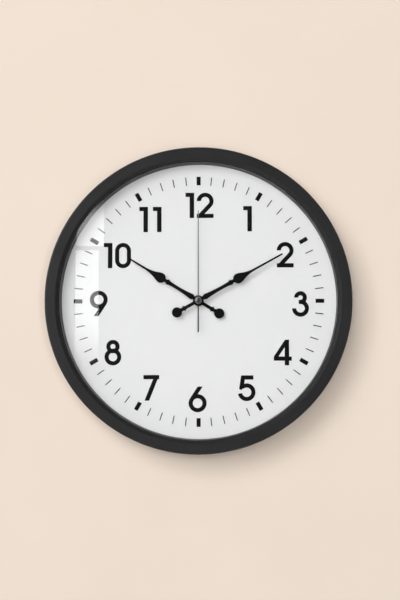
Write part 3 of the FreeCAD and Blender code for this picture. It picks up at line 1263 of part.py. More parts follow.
# ---------------------------------------------------------------------------------------------------
# The movement: wheels, arbors and pipes
# ---------------------------------------------------------------------------------------------------
def make_train():
    """Rotor, fifth, second, third and centre wheels, in mesh as they stand."""
    fine = module_of("rotor_distance", "rotor_teeth", "fifth_wheel_teeth")
    coarse = module_of("fifth_distance", "fifth_pinion_teeth", "second_wheel_teeth")
    slow = module_of("third_distance", "second_pinion_teeth", "third_wheel_teeth")
    last = module_of("third_distance", "third_pinion_teeth", "centre_wheel_teeth")

    second_phase = 0
    fifth_pinion_phase = meshing_phase(second_phase, value("second_wheel_teeth"),
                                       value("fifth_pinion_teeth"), value("fifth_direction"))
    fifth_phase = 0
    rotor_phase = meshing_phase(fifth_phase, value("fifth_wheel_teeth"), value("rotor_teeth"),
                                value("rotor_direction"))
    third_phase = meshing_phase(0, value("second_pinion_teeth"), value("third_wheel_teeth"),
                                value("third_direction"))
    centre_phase = meshing_phase(0, value("third_pinion_teeth"), value("centre_wheel_teeth"),
                                 value("third_direction") + 180)

    # rotor: a magnet moulded on a pinion, on a steel arbor
    bore = rod("rotor_bore", ROTOR, "movement_back", "movement_front", "arbor_radius")
    finish_node(cut("rotor_toothed", join("rotor_blank", [
        gear("rotor_teeth_ring", "rotor_teeth", fine, rotor_phase, ROTOR, "rotor_pinion_back",
             "rotor_pinion_front"),
        rod("rotor_hub", ROTOR, "rotor_pinion_front", "magnet_front + rotor_hub_end", "rotor_hub_radius")]), [bore]),
        "rotor_pinion")
    hub = rod("magnet_bore", ROTOR, "magnet_back", "magnet_front", "rotor_hub_radius")
    finish_node(cut("magnet", rod("magnet_outside", ROTOR, "magnet_back", "magnet_front", "magnet_radius"),
                    [hub]), "rotor_magnet")
    finish_node(rod("rotor_steel", ROTOR,
                    "pivot_back + pivot_end_gap", "plate_front", "arbor_radius"), "rotor_arbor")

    # fifth wheel
    bore = rod("fifth_bore", FIFTH, "movement_back", "movement_front", "arbor_radius")
    finish_node(cut("fifth_toothed", join("fifth_blank", [
        gear("fifth_rim", "fifth_wheel_teeth", fine, fifth_phase, FIFTH, "fifth_wheel_back",
             "fifth_wheel_front"),
        gear("fifth_pinion", "fifth_pinion_teeth", coarse, fifth_pinion_phase, FIFTH, "fifth_wheel_front",
             "fifth_pinion_front")]), [bore]), "fifth_wheel")
    finish_node(rod("fifth_steel", FIFTH,
                    "pivot_back + pivot_end_gap", "plate_front", "arbor_radius"), "fifth_arbor")

    # second wheel, on the long arbor that carries the second hand
    bore = rod("second_bore", CENTRE, "movement_back", "movement_front", "second_arbor_radius")
    finish_node(cut("second_toothed", join("second_blank", [
        gear("second_rim", "second_wheel_teeth", coarse, second_phase, CENTRE, "second_wheel_back",
             "second_wheel_front"),
        rod("second_hub", CENTRE, "second_wheel_front", "second_pinion_back", "2 * second_arbor_radius"),
        gear("second_pinion", "second_pinion_teeth", slow, 0, CENTRE, "second_pinion_back",
             "second_pinion_front")]), [bore]), "second_wheel")
    finish_node(rod("second_steel", CENTRE,
                    "pivot_back + pivot_end_gap", "second_hand_front", "second_arbor_radius"),
                "second_arbor")

    # third wheel, whose pinion is in front of the middle plate
    bore = rod("third_bore", THIRD, "movement_back", "movement_front", "third_arbor_radius")
    finish_node(cut("third_toothed", join("third_blank", [
        gear("third_rim", "third_wheel_teeth", slow, third_phase, THIRD, "third_wheel_back",
             "third_wheel_front"),
        rod("third_hub", THIRD, "third_wheel_front", "third_pinion_back", "third_hub_radius"),
        gear("third_pinion", "third_pinion_teeth", last, 0, THIRD, "third_pinion_back",
             "third_pinion_front")]), [bore]), "third_wheel")
    finish_node(rod("third_steel", THIRD, "pivot_back + pivot_end_gap", "room_front + third_pivot_length",
                    "third_arbor_radius"),
                "third_arbor")

    # centre wheel, loose on the minute pipe but for its friction spring
    bore = rod("centre_bore", CENTRE, "movement_back", "movement_front",
               "minute_spigot_radius + pivot_clearance")
    finish_node(cut("centre_toothed", join("centre_blank", [
        gear("centre_rim", "centre_wheel_teeth", last, centre_phase, CENTRE, "centre_wheel_back",
             "centre_wheel_front"),
        rod("centre_hub", CENTRE, "centre_wheel_back - centre_hub_length", "centre_wheel_back",
            "centre_hub_radius")]), [bore]),
        "centre_wheel")


def make_motion_work():
    """The minute pipe, the minute-work wheel, the hour wheel and the setting shaft."""
    module = module_of("motion_distance", "minute_pinion_teeth", "motion_wheel_teeth")
    hour_module = module_of("motion_distance", "motion_pinion_teeth", "hour_wheel_teeth")
    wheel_phase = meshing_phase(0, value("minute_pinion_teeth"), value("motion_wheel_teeth"),
                                value("motion_direction"))
    hour_phase = meshing_phase(0, value("motion_pinion_teeth"), value("hour_wheel_teeth"),
                               value("motion_direction") + 180)
    setting_phase = meshing_phase(wheel_phase, value("motion_wheel_teeth"), value("setting_teeth"),
                                  value("knob_direction"))

    bore = rod("minute_bore", CENTRE, "movement_back", "case_depth", "second_arbor_radius + pipe_clearance")
    finish_node(cut("minute_tube", join("minute_blank", [
        rod("minute_spigot", CENTRE, "minute_pipe_back", "minute_pinion_back", "minute_spigot_radius"),
        gear("minute_pinion", "minute_pinion_teeth", module, 0, CENTRE, "minute_pinion_back",
             "minute_pinion_front"),
        rod("minute_body", CENTRE, "minute_pinion_front", "minute_pipe_front", "minute_pipe_radius")]),
        [bore]), "minute_pipe")
    root = "minute_spigot_radius + spring_root"
    spring_back = "minute_pinion_back - spring_wall"
    turned(new_body("friction_spring"), [
        ("minute_spigot_radius", spring_back), ("minute_spigot_radius", "minute_pinion_back"),
        (root, "minute_pinion_back"), ("spring_reach", "centre_wheel_front + spring_wall"),
        ("spring_reach", "centre_wheel_front + pivot_clearance"), (root, spring_back)])

    bore = rod("motion_bore", MOTION, "movement_back", "movement_front", "post_radius + pivot_clearance")
    finish_node(cut("motion_toothed", join("motion_blank", [
        rod("motion_hub", MOTION, "motion_hub_back", "motion_wheel_back", "post_radius + motion_hub_wall"),
        gear("motion_rim", "motion_wheel_teeth", module, wheel_phase, MOTION, "motion_wheel_back",
             "motion_wheel_front"),
        gear("motion_pinion", "motion_pinion_teeth", hour_module, 0, MOTION, "motion_wheel_front",
             "motion_pinion_front")]), [bore]), "minute_work_wheel")

    bore = rod("hour_bore_rod", CENTRE, "movement_back", "case_depth", "hour_bore")
    finish_node(cut("hour_toothed", join("hour_blank", [
        rod("hour_hub", CENTRE, "hour_wheel_back - hour_hub_rear", "hour_wheel_front + hour_hub_front",
            "hour_pipe_radius + hour_hub_wall"),
        gear("hour_rim", "hour_wheel_teeth", hour_module, hour_phase, CENTRE, "hour_wheel_back",
             "hour_wheel_front"),
        rod("hour_tube", CENTRE, "hour_wheel_front", "hour_pipe_front", "hour_pipe_radius")]), [bore]),
        "hour_wheel")

    finish_node(join("setting_blank", [
        rod("setting_rod", KNOB, "knob_back + knob_floor", "setting_pinion_back", "setting_shaft_radius"),
        gear("setting_pinion", "setting_teeth", module, setting_phase, KNOB, "setting_pinion_back",
             "setting_pinion_front"),
        rod("setting_pivot", KNOB, "setting_pinion_front", "setting_pivot_front", "setting_pivot_radius")]),
        "setting_shaft")
    knob = rod("knob_disc", KNOB, "knob_back", "knob_back + knob_height", "knob_radius")
    hole = rod("knob_hole", KNOB, "knob_back + knob_floor", "movement_front", "setting_shaft_radius")
    grips = [rod(f"knob_grip_{number}",
                 (f"knob_across + knob_radius * cos({number} * 360deg / knob_grips)",
                  f"knob_up + knob_radius * sin({number} * 360deg / knob_grips)"),
                 "knob_back - 1", "knob_back + knob_height + 1", "knob_grip_radius")
             for number in range(int(value("knob_grips")))]
    finish_node(cut("knob", knob, [hole] + grips), "setting_knob")


# ---------------------------------------------------------------------------------------------------
# The hands
# ---------------------------------------------------------------------------------------------------
def blade_face(length, spade):
    """A spade hand pointing at 12: a waisted arm, a collar, a round-based spade and a long point."""
    wide = value("spade_width") / 2
    inner = value("hand_hub_radius") - 0.4
    right = [(1.8, inner), (1.8, inner + 1.2), (2.9, inner + 2.5)]
    arm = [right[-1], (1.7, (inner + spade) / 2), (2, spade - 10.2)]
    collar = [(3.15, spade - 8.6), (1.6, spade - 7), (1.8, spade - 5)]
    base = [collar[-1], (4.2, spade - 3.1), (wide, spade)]
    shoulder = [base[-1], (4.3, spade + 3.1), (3, spade + 6.4)]
    taper = [shoulder[-1], (1.7, spade + 11.4), (1.05, spade + 19)]
    tip = (0.8, length)

    def half(side):
        edges = []

        def put(points):
            return [(side * across, up) for across, up in points]

        edges.append(line(*put(right[:2])))
        edges.append(line(*put(right[1:])))
        edges.append(curve(put(arm)))
        edges.append(line(*put([arm[-1], collar[0]])))
        edges.append(line(*put(collar[:2])))
        edges.append(line(*put(collar[1:])))
        edges.append(curve(put(base)))
        edges.append(curve(put(shoulder)))
        edges.append(curve(put(taper)))
        edges.append(line(*put([taper[-1], tip])))
        return edges

    ends = [line((-right[0][0], right[0][1]), right[0]), line((-tip[0], tip[1]), tip)]
    return Part.Face(Part.Wire(Part.__sortEdges__(half(1) + half(-1) + ends)))


def tail_face():
    """The tail of a hand: an arm with a small collar, down to the round counterweight."""
    inner = -value("hand_hub_radius") + 0.4
    disc_edge = -value("counterweight_distance - counterweight_radius") - 1
    collar = disc_edge + 4.2
    half = [(1.65, inner), (1.6, collar + 1.4), (3.05, collar), (1.65, collar - 1.2), (1.8, disc_edge)]
    return polygon_face(half + [(-across, up) for across, up in reversed(half)])


def make_hand(label, length, spade, back, angle, hole):
    """An hour or minute hand: blade, hub and round tail, with a hole for its collet."""
    blade = blade_face(value(length), value(spade))
    plate = outline_solid(label + "_blade", [[blade]], back, "hand_thickness")
    tail = outline_solid(label + "_tail", [[tail_face()]], back, "hand_thickness")
    front = f"{back} + hand_thickness"
    hub = rod(label + "_hub", CENTRE, back, front, "hand_hub_radius")
    weight = rod(label + "_weight", ("0", "-counterweight_distance"), back, front, "counterweight_radius")
    bore = rod(label + "_bore", CENTRE, f"{back} - 1", f"{front} + 1", hole)
    hand = cut(label + "_plate", join(label + "_blank", [plate, tail, hub, weight]), [bore])
    hand.Placement = Placement(Vector(), Rotation(Vector(0, 1, 0), 1))
    bind(hand, {"Placement.Rotation.Angle": f"{angle} * 1deg"})
    finish_node(hand, label)


def make_collet(label, pipe, back):
    """The brass collet that grips a pipe and holds a hand by its rolled flange."""
    front = f"{back} + hand_thickness"
    rear = f"{back} - collet_rear"
    tube = f"{pipe} + collet_wall"
    flange = f"{pipe} + collet_flange"
    turned(new_body(label), [
        (pipe, rear), (tube, rear), (tube, front), (flange, front), (flange, f"{front} + collet_rim"),
        (f"{pipe} + collet_neck", f"{front} + collet_front"), (pipe, f"{front} + collet_front")])


def make_hands():
    """Hour, minute and second hands, with the collets and the domed cap over the middle."""
    make_hand("hour_hand", "hour_hand_length", "hour_spade_radius", "hour_hand_back", "hour_hand_angle",
              "hour_pipe_radius + collet_wall")
    make_collet("hour_collet", "hour_pipe_radius", "hour_hand_back")
    make_hand("minute_hand", "minute_hand_length", "minute_spade_radius", "minute_hand_back",
              "minute_hand_angle", "minute_pipe_radius + collet_wall")
    make_collet("minute_collet", "minute_pipe_radius", "minute_hand_back")

    wide, tip, tail = value("second_hand_width"), value("second_hand_length"), value("second_tail_length")
    broad, narrow = wide * 0.62, wide * 0.36
    blade = polygon_face([(-broad, -tail), (broad, -tail), (narrow, tip), (-narrow, tip)])
    sleeve_radius = "second_arbor_radius + second_sleeve_wall"
    finish_node(cut("second_plate", join("second_hand_blank", [
        outline_solid("second_blade", [[blade]], "second_hand_back", "second_hand_thickness"),
        rod("second_disc", CENTRE, "second_hand_back", "second_hand_front", "cap_radius - second_disc_inset"),
        rod("second_sleeve", CENTRE, "minute_pipe_front + second_sleeve_gap", "second_hand_front",
            sleeve_radius)]),
        [rod("second_hand_bore", CENTRE, "movement_front", "case_depth", "second_arbor_radius")]),
        "second_hand")

    dome = doc.addObject("Part::Sphere", "cap_sphere")
    bind(dome, {"Radius": "cap_dome_radius", "Placement.Base.y": "cap_dome_radius - cap_front"})
    cap = doc.addObject("Part::Common", "cap")
    cap.Base = rod("cap_rod", CENTRE, "second_hand_front", "cap_front", "cap_radius")
    cap.Tool = dome
    finish_node(cap, "centre_cap")


# ---------------------------------------------------------------------------------------------------
# Build, check and write
# ---------------------------------------------------------------------------------------------------
def check():
    """Stop if any object failed, any cut removed nothing, or any node is not a valid solid."""
    for item in doc.Objects:
        if "Invalid" in item.State or "Error" in item.State:
            raise RuntimeError(f"{item.Label} failed: {item.State}")
        if item.TypeId == "PartDesign::Pocket":
            if item.Shape.Volume >= item.BaseFeature.Shape.Volume - 1e-6:
                raise RuntimeError(f"{item.Label} in {item.getParentGeoFeatureGroup().Label} cuts nothing")
    for node in nodes:
        shape = node.Shape
        if shape.isNull() or not shape.isValid() or not shape.Solids or shape.Volume <= 0:
            raise RuntimeError(f"{node.Label} is not a valid solid")


make_bezel()
make_glass_and_dial()
make_rear_cover()
make_cover_screws()
make_hanger()
make_figures()
make_marks("hour_marks", "hour_mark_length", "hour_mark_width", range(0, 60, 5))
make_marks("minute_marks", "minute_mark_length", "minute_mark_width",
           [minute for minute in range(60) if minute % 5])
make_rear_case()
make_front_case()
make_middle_plate()
make_bush()
make_stator()
make_coil()
make_circuit()
make_battery()
make_train()
make_motion_work()
make_hands()
doc.recompute()
check()

os.makedirs("parts", exist_ok=True)
for node in nodes:
    node.Shape.exportStep(f"parts/{node.Label}.step")
    print(f"{node.Label:22s} {len(node.Shape.Solids):3d} solids {node.Shape.Volume:12.2f} mm3")
print(len(nodes), "nodes")
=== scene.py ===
from math import cos, pi, radians, sin

import bpy
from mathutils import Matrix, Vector


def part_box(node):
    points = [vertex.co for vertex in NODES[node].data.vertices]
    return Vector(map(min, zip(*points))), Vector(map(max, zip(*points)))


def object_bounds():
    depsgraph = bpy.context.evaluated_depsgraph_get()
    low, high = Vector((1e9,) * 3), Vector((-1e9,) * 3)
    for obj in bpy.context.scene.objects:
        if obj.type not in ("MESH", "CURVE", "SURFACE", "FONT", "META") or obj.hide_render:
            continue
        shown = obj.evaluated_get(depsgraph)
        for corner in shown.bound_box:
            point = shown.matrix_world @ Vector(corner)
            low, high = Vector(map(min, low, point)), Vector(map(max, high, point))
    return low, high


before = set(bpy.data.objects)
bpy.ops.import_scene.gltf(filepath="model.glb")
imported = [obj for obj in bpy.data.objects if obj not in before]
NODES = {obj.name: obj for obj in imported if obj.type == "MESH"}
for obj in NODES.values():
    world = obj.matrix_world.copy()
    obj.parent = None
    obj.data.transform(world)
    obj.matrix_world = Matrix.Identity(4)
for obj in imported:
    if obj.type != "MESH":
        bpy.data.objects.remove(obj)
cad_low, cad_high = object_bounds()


# ---------------------------------------------------------------- node helpers


def socket(node, name):
    """The enabled input of that name: a Mix node has one of each kind."""
    return next(s for s in node.inputs if s.name == name and s.enabled)


class Material:
    """A Principled surface and short calls that hang procedural nodes on it. Lengths are in metres."""

    def __init__(self, name, roughness=0.5, metallic=0.0):
        self.name = name
        self.data = bpy.data.materials.new("new_" + name)
        self.data.use_nodes = True
        self.tree = self.data.node_tree
        self.tree.nodes.clear()
        self.output = self.tree.nodes.new("ShaderNodeOutputMaterial")
        self.shader = self.tree.nodes.new("ShaderNodeBsdfPrincipled")
        self.link(self.shader.outputs[0], self.output.inputs["Surface"])
        self.place = self.tree.nodes.new("ShaderNodeTexCoord").outputs["Object"]
        self.shader.inputs["Roughness"].default_value = roughness
        self.shader.inputs["Metallic"].default_value = metallic

    def link(self, source, target):
        self.tree.links.new(source, target)

    def set(self, **values):
        """Constant values of the shader's sockets, with _ for a space."""
        for name, value in values.items():
            self.shader.inputs[name.replace("_", " ")].default_value = value
        return self

    def stretched(self, scale):
        """The place, scaled by a factor for each axis."""
        node = self.tree.nodes.new("ShaderNodeMapping")
        node.inputs["Scale"].default_value = scale
        self.link(self.place, node.inputs["Vector"])
        return node.outputs[0]

    def axis(self, name):
        """The place along one axis."""
        apart = self.tree.nodes.new("ShaderNodeSeparateXYZ")
        self.link(self.place, apart.inputs[0])
        return apart.outputs[name]

    def around_axis(self):
        """The distance from the hands' axis, which is parallel to Y through the origin."""
        squares = [self.math("MULTIPLY", self.axis(name), self.axis(name)) for name in "XZ"]
        return self.math("SQRT", self.math("ADD", *squares))

    def math(self, operation, *values):
        node = self.tree.nodes.new("ShaderNodeMath")
        node.operation = operation
        for target, item in zip(node.inputs, values):
            if isinstance(item, (int, float)):
                target.default_value = item
            else:
                self.link(item, target)
        return node.outputs[0]

    def noise(self, size, detail=2.0, rough=0.5, vector=None):
        """Fractal noise with features about size metres across."""
        node = self.tree.nodes.new("ShaderNodeTexNoise")
        node.inputs["Scale"].default_value = 1 / size
        node.inputs["Detail"].default_value = detail
        node.inputs["Roughness"].default_value = rough
        self.link(vector or self.place, node.inputs["Vector"])
        return node.outputs["Fac"]

    def cells(self, size, feature="F1"):
        """Voronoi cells about size metres across."""
        node = self.tree.nodes.new("ShaderNodeTexVoronoi")
        node.feature = feature
        node.inputs["Scale"].default_value = 1 / size
        self.link(self.place, node.inputs["Vector"])
        return node.outputs["Distance"]

    def between(self, factor, low, high):
        """factor, from 0 to 1, moved to the range from low to high."""
        node = self.tree.nodes.new("ShaderNodeMapRange")
        node.inputs["To Min"].default_value = low
        node.inputs["To Max"].default_value = high
        self.link(factor, node.inputs["Value"])
        return node.outputs[0]

    def ramp(self, factor, stops, sharp=False):
        """A colour for each value of factor, from (position, colour) stops."""
        node = self.tree.nodes.new("ShaderNodeValToRGB")
        node.color_ramp.interpolation = "CONSTANT" if sharp else "LINEAR"
        while len(node.color_ramp.elements) < len(stops):
            node.color_ramp.elements.new(0.5)
        for element, (position, colour) in zip(node.color_ramp.elements, stops):
            element.position = position
            element.color = (*colour, 1.0)
        self.link(factor, node.inputs[0])
        return node.outputs[0]

    def mix(self, factor, one, other, blend="MIX"):
        """one turns into other as factor goes from 0 to 1. Colours are sockets or triples."""
        node = self.tree.nodes.new("ShaderNodeMix")
        node.data_type = "RGBA"
        node.blend_type = blend
        for name, item in (("Factor", factor), ("A", one), ("B", other)):
            target = socket(node, name)
            if isinstance(item, (int, float)):
                target.default_value = item
            elif isinstance(item, tuple):
                target.default_value = (*item, 1.0)
            else:
                self.link(item, target)
        return next(s for s in node.outputs if s.enabled)

    def colour(self, source):
        self.link(source, self.shader.inputs["Base Color"])
        return self

    def gloss(self, source, low, high):
        """Roughness that follows source, from low to high."""
        self.link(self.between(source, low, high), self.shader.inputs["Roughness"])
        return self

    def relief(self, *heights):
        """Bumps, as (height socket, depth in metres, strength), laid over each other."""
        normal = None
        for height, depth, strength in heights:
            node = self.tree.nodes.new("ShaderNodeBump")
            node.inputs["Distance"].default_value = depth
            node.inputs["Strength"].default_value = strength
            self.link(height, node.inputs["Height"])
            if normal is not None:
                self.link(normal, node.inputs["Normal"])
            normal = node.outputs[0]
        self.link(normal, self.shader.inputs["Normal"])
        return self

    def clear_where(self, condition):
        """The surface is clear where the condition, a socket, is 1."""
        clear = self.tree.nodes.new("ShaderNodeBsdfTransparent")
        switch = self.tree.nodes.new("ShaderNodeMixShader")
        self.link(condition, switch.inputs[0])
        self.link(self.shader.outputs[0], switch.inputs[1])
        self.link(clear.outputs[0], switch.inputs[2])
        self.link(switch.outputs[0], self.output.inputs["Surface"])
        return self


def shades(colour, spread):
    """Two stops, a little darker and a little lighter than colour."""
    darker = tuple(part * (1 - spread) for part in colour)
    lighter = tuple(part * (1 + spread) for part in colour)
    return ((0.3, darker), (0.7, lighter))


# ---------------------------------------------------------------- materials


# Detail of single finishes: lengths in metres, then places along the cell as shares of its length
TAIL_FADE = 0.002
CAP_RING_PITCH = 0.00022
WIRE_PITCH = 0.00016
BAND_START = 0.71
BAND_EDGE = 0.73


def moulded(name, colour, roughness, grain=0.0004, depth=0.00002, spread=0.08, drift=0.05, **constants):
    """Injection-moulded plastic: spark-eroded grain, and gloss and colour that drift slowly."""
    surface = Material(name).set(**constants)
    slow = surface.noise(0.03, 3.0)
    fine = surface.noise(grain, 3.0, 0.6)
    surface.colour(surface.ramp(surface.mix(0.4, slow, fine), shades(colour, spread)))
    surface.gloss(slow, roughness - drift, roughness + drift)
    return surface.relief((fine, depth, 0.6))


def drawn_metal(name, colour, roughness, stretch, spread=0.06):
    """Metal with fine tool marks, drawn out along the axis whose stretch is smallest."""
    surface = Material(name, metallic=1.0)
    marks = surface.noise(0.0003, 3.0, 0.6, surface.stretched(stretch))
    slow = surface.noise(0.004, 2.0)
    surface.colour(surface.ramp(surface.mix(0.5, slow, marks), shades(colour, spread)))
    surface.gloss(marks, roughness - 0.06, roughness + 0.08)
    return surface.relief((marks, 0.000008, 0.5))


def ring_plastic():
    """The ring's satin black ABS, with faint scuffs that catch the light."""
    surface = Material("black_abs").set(Specular_IOR_Level=0.42)
    slow = surface.noise(0.035, 3.0)
    fine = surface.noise(0.00045, 3.0, 0.6)
    scuffs = surface.ramp(surface.noise(0.006, 6.0, 0.75), ((0.62, (0, 0, 0)), (0.74, (1, 1, 1))))
    base = surface.ramp(slow, shades((0.0086, 0.0091, 0.0096), 0.12))
    surface.colour(surface.mix(surface.math("MULTIPLY", scuffs, 0.12), base, (0.05, 0.05, 0.05)))
    surface.gloss(surface.mix(0.35, slow, fine), 0.36, 0.52)
    return surface.relief((surface.noise(0.012, 2.0), 0.00005, 0.25), (fine, 0.00003, 0.55))


def lens_glass():
    """Clear glass with a trace of dust haze. Light from a lamp passes straight through to the dial."""
    surface = Material("clear_glass", roughness=0.0)
    surface.set(IOR=1.5, Transmission_Weight=1.0)
    dust = surface.noise(0.05, 4.0, 0.6)
    surface.colour(surface.ramp(dust, ((0.3, (0.985, 0.992, 0.988)), (0.7, (1.0, 1.0, 1.0)))))
    surface.gloss(dust, 0.0, 0.012)
    path = surface.tree.nodes.new("ShaderNodeLightPath")
    return surface.clear_where(path.outputs["Is Shadow Ray"])


def dial_paper():
    """Matt white coated card: fibres, and a faint cloudiness."""
    surface = Material("white_dial").set(Specular_IOR_Level=0.25)
    fibres = surface.noise(0.0009, 5.0, 0.7)
    cloud = surface.noise(0.04, 3.0)
    surface.colour(surface.ramp(surface.mix(0.35, cloud, fibres), shades((0.77, 0.77, 0.772), 0.008)))
    surface.gloss(fibres, 0.5, 0.66)
    return surface.relief((fibres, 0.00001, 0.3))


def printed_ink():
    """Screen-printed black ink, a little patchy where it is thin."""
    surface = Material("black_print").set(Specular_IOR_Level=0.15)
    grain = surface.noise(0.0005, 4.0, 0.7)
    cloud = surface.noise(0.008, 2.0)
    surface.colour(surface.ramp(surface.mix(0.5, cloud, grain), shades((0.0035, 0.0035, 0.0038), 0.3)))
    surface.gloss(grain, 0.45, 0.62)
    return surface.relief((grain, 0.000006, 0.4))


def hand_lacquer():
    """Matt black lacquer on thin sheet, with dust-fine orange peel."""
    surface = Material("black_hand").set(Specular_IOR_Level=0.15)
    peel = surface.noise(0.0007, 3.0, 0.6)
    surface.colour(surface.ramp(peel, shades((0.003, 0.003, 0.0033), 0.25)))
    surface.gloss(peel, 0.42, 0.56)
    return surface.relief((peel, 0.000012, 0.5))


def seconds_sheet():
    """Thin brushed sheet for the second hand, with marks along the hand and a darker tail."""
    surface = Material("grey_hand", metallic=0.35)
    marks = surface.noise(0.0002, 3.0, 0.6, surface.stretched((1, 1, 0.06)))
    blotch = surface.noise(0.01, 2.0)
    sheet = surface.ramp(surface.mix(0.5, marks, blotch), shades((0.17, 0.17, 0.173), 0.2))
    below_axis = surface.math("MULTIPLY", surface.axis("Z"), -1 / TAIL_FADE)
    tail = surface.ramp(below_axis, ((0, (1, 1, 1)), (1, (0.15, 0.15, 0.15))))
    surface.colour(surface.mix(1.0, sheet, tail, "MULTIPLY"))
    surface.gloss(marks, 0.3, 0.48)
    return surface.relief((marks, 0.000006, 0.5))


def cap_metal():
    """Polished gunmetal with turned rings about the clock's axis."""
    surface = Material("cap_metal", metallic=1.0)
    rings = surface.math("SINE", surface.math("MULTIPLY", surface.around_axis(), 2 * pi / CAP_RING_PITCH))
    stains = surface.noise(0.0018, 3.0)
    surface.colour(surface.ramp(stains, shades((0.62, 0.62, 0.625), 0.12)))
    surface.gloss(stains, 0.16, 0.3)
    return surface.relief((surface.between(rings, 0.0, 1.0), 0.000002, 0.3))


def winding(node):
    """Enamelled wire wound on its core: turns side by side along the longest way of the node."""
    low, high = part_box(node)
    size = high - low
    along = "XYZ"[max(range(3), key=lambda i: size[i])]
    surface = Material("copper", metallic=1.0).set(Coat_Weight=0.5, Coat_Roughness=0.15)
    turns = surface.math("SINE", surface.math("MULTIPLY", surface.axis(along), 2 * pi / WIRE_PITCH))
    lay = surface.noise(0.0012, 2.0)
    surface.colour(surface.ramp(lay, shades((0.62, 0.25, 0.10), 0.15)))
    surface.gloss(lay, 0.2, 0.36)
    return surface.relief((surface.between(turns, 0.0, 1.0), 0.00004, 0.8), (lay, 0.00008, 0.4))


def board_laminate():
    """Solder mask over copper tracks."""
    surface = Material("board_green").set(Specular_IOR_Level=0.5, Coat_Weight=0.3, Coat_Roughness=0.2)
    weave = surface.noise(0.0004, 2.0)
    edges = surface.cells(0.0022, "DISTANCE_TO_EDGE")
    tracks = surface.ramp(edges, ((0.06, (1, 1, 1)), (0.09, (0, 0, 0))))
    base = surface.ramp(weave, shades((0.012, 0.085, 0.035), 0.15))
    surface.colour(surface.mix(tracks, base, (0.03, 0.16, 0.06)))
    surface.gloss(weave, 0.3, 0.42)
    return surface.relief((tracks, 0.00003, 0.6))


def chip_resin():
    """A blob of black potting resin with a soft shine."""
    surface = Material("chip_resin").set(Specular_IOR_Level=0.55)
    ripple = surface.noise(0.0015, 2.0)
    surface.colour(surface.ramp(ripple, shades((0.008, 0.008, 0.009), 0.2)))
    surface.gloss(ripple, 0.14, 0.3)
    return surface.relief((ripple, 0.00005, 0.4))


def ferrite():
    """Sintered magnet: dark, matt and granular."""
    surface = Material("magnet", metallic=0.35)
    grains = surface.cells(0.00025)
    surface.colour(surface.ramp(surface.noise(0.0006, 3.0), shades((0.045, 0.044, 0.046), 0.35)))
    surface.gloss(grains, 0.55, 0.75)
    return surface.relief((grains, 0.00002, 0.6))


def cell_wrap():
    """Shrink sleeve of a plain cell: dark blue, with a pale line and a silver end towards +X."""
    low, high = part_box("battery_sleeve")
    surface = Material("cell_wrap").set(Coat_Weight=0.6, Coat_Roughness=0.12)
    along = surface.math("DIVIDE", surface.math("SUBTRACT", surface.axis("X"), low.x), high.x - low.x)
    crinkle = surface.noise(0.0025, 3.0, 0.6, surface.stretched((0.4, 1, 1)))
    bands = surface.ramp(
        along,
        ((0.0, (0.03, 0.075, 0.12)), (BAND_START, (0.75, 0.75, 0.73)), (BAND_EDGE, (0.45, 0.46, 0.47))),
        sharp=True,
    )
    wear = surface.math("MULTIPLY", crinkle, 0.25)
    surface.colour(surface.mix(wear, bands, (0.5, 0.5, 0.5), "OVERLAY"))
    surface.gloss(crinkle, 0.22, 0.36)
    return surface.relief((crinkle, 0.00003, 0.35))


def make_materials():
    """One finish for each material slot of the record."""
    finishes = [
        ring_plastic(),
        lens_glass(),
        moulded("black_spacer", (0.012, 0.012, 0.013), 0.5, depth=0.00001),
        dial_paper(),
        printed_ink(),
        hand_lacquer(),
        seconds_sheet(),
        cap_metal(),
        moulded("cover_plastic", (0.02, 0.02, 0.021), 0.55, grain=0.0008, depth=0.00006, spread=0.15),
        moulded("movement_plastic", (0.016, 0.016, 0.017), 0.46, grain=0.0003, depth=0.00002, spread=0.12),
        moulded("white_gear", (0.74, 0.73, 0.68), 0.4, grain=0.0006, depth=0.000006, spread=0.02,
                Subsurface_Weight=0.25, Subsurface_Radius=(0.0012, 0.001, 0.0008)),
        drawn_metal("steel", (0.46, 0.46, 0.47), 0.34, (1, 1, 0.15)),
        drawn_metal("brass", (0.72, 0.50, 0.20), 0.28, (1, 0.2, 1)),
        drawn_metal("bright_steel", (0.62, 0.62, 0.63), 0.2, (0.2, 1, 1)),
        drawn_metal("iron", (0.30, 0.30, 0.31), 0.42, (0.3, 1, 1), spread=0.12),
        ferrite(),
        winding("coil_winding"),
        board_laminate(),
        chip_resin(),
        moulded("cushion", (0.025, 0.025, 0.026), 0.8, grain=0.0005, depth=0.00004, spread=0.2, drift=0.08),
        cell_wrap(),
        drawn_metal("spring_brass", (0.70, 0.52, 0.26), 0.26, (0.3, 1, 1)),
    ]
    return {finish.name: finish.data for finish in finishes}


def finish_nodes(materials):
    """Every CAD node gets the finish of its own material slot."""
    for node in NODES.values():
        for place in node.material_slots:
            place.material = materials[place.material.name]


# ---------------------------------------------------------------- room and light

WALL_GAP = 0.0005
WALL_SIDE = 8.0
FLOOR_LEVEL = -1.3


def flat_sheet(name, width, height, centre, turn):
    """A rectangle that faces +Z, turned and moved into place."""
    mesh = bpy.data.meshes.new(name)
    across = width / 2
    up = height / 2
    corners = [(-across, -up, 0), (across, -up, 0), (across, up, 0), (-across, up, 0)]
    mesh.from_pydata(corners, [], [(0, 1, 2, 3)])
    sheet = bpy.data.objects.new(name, mesh)
    sheet.location = centre
    sheet.rotation_euler = turn
    bpy.context.scene.collection.objects.link(sheet)
    return sheet


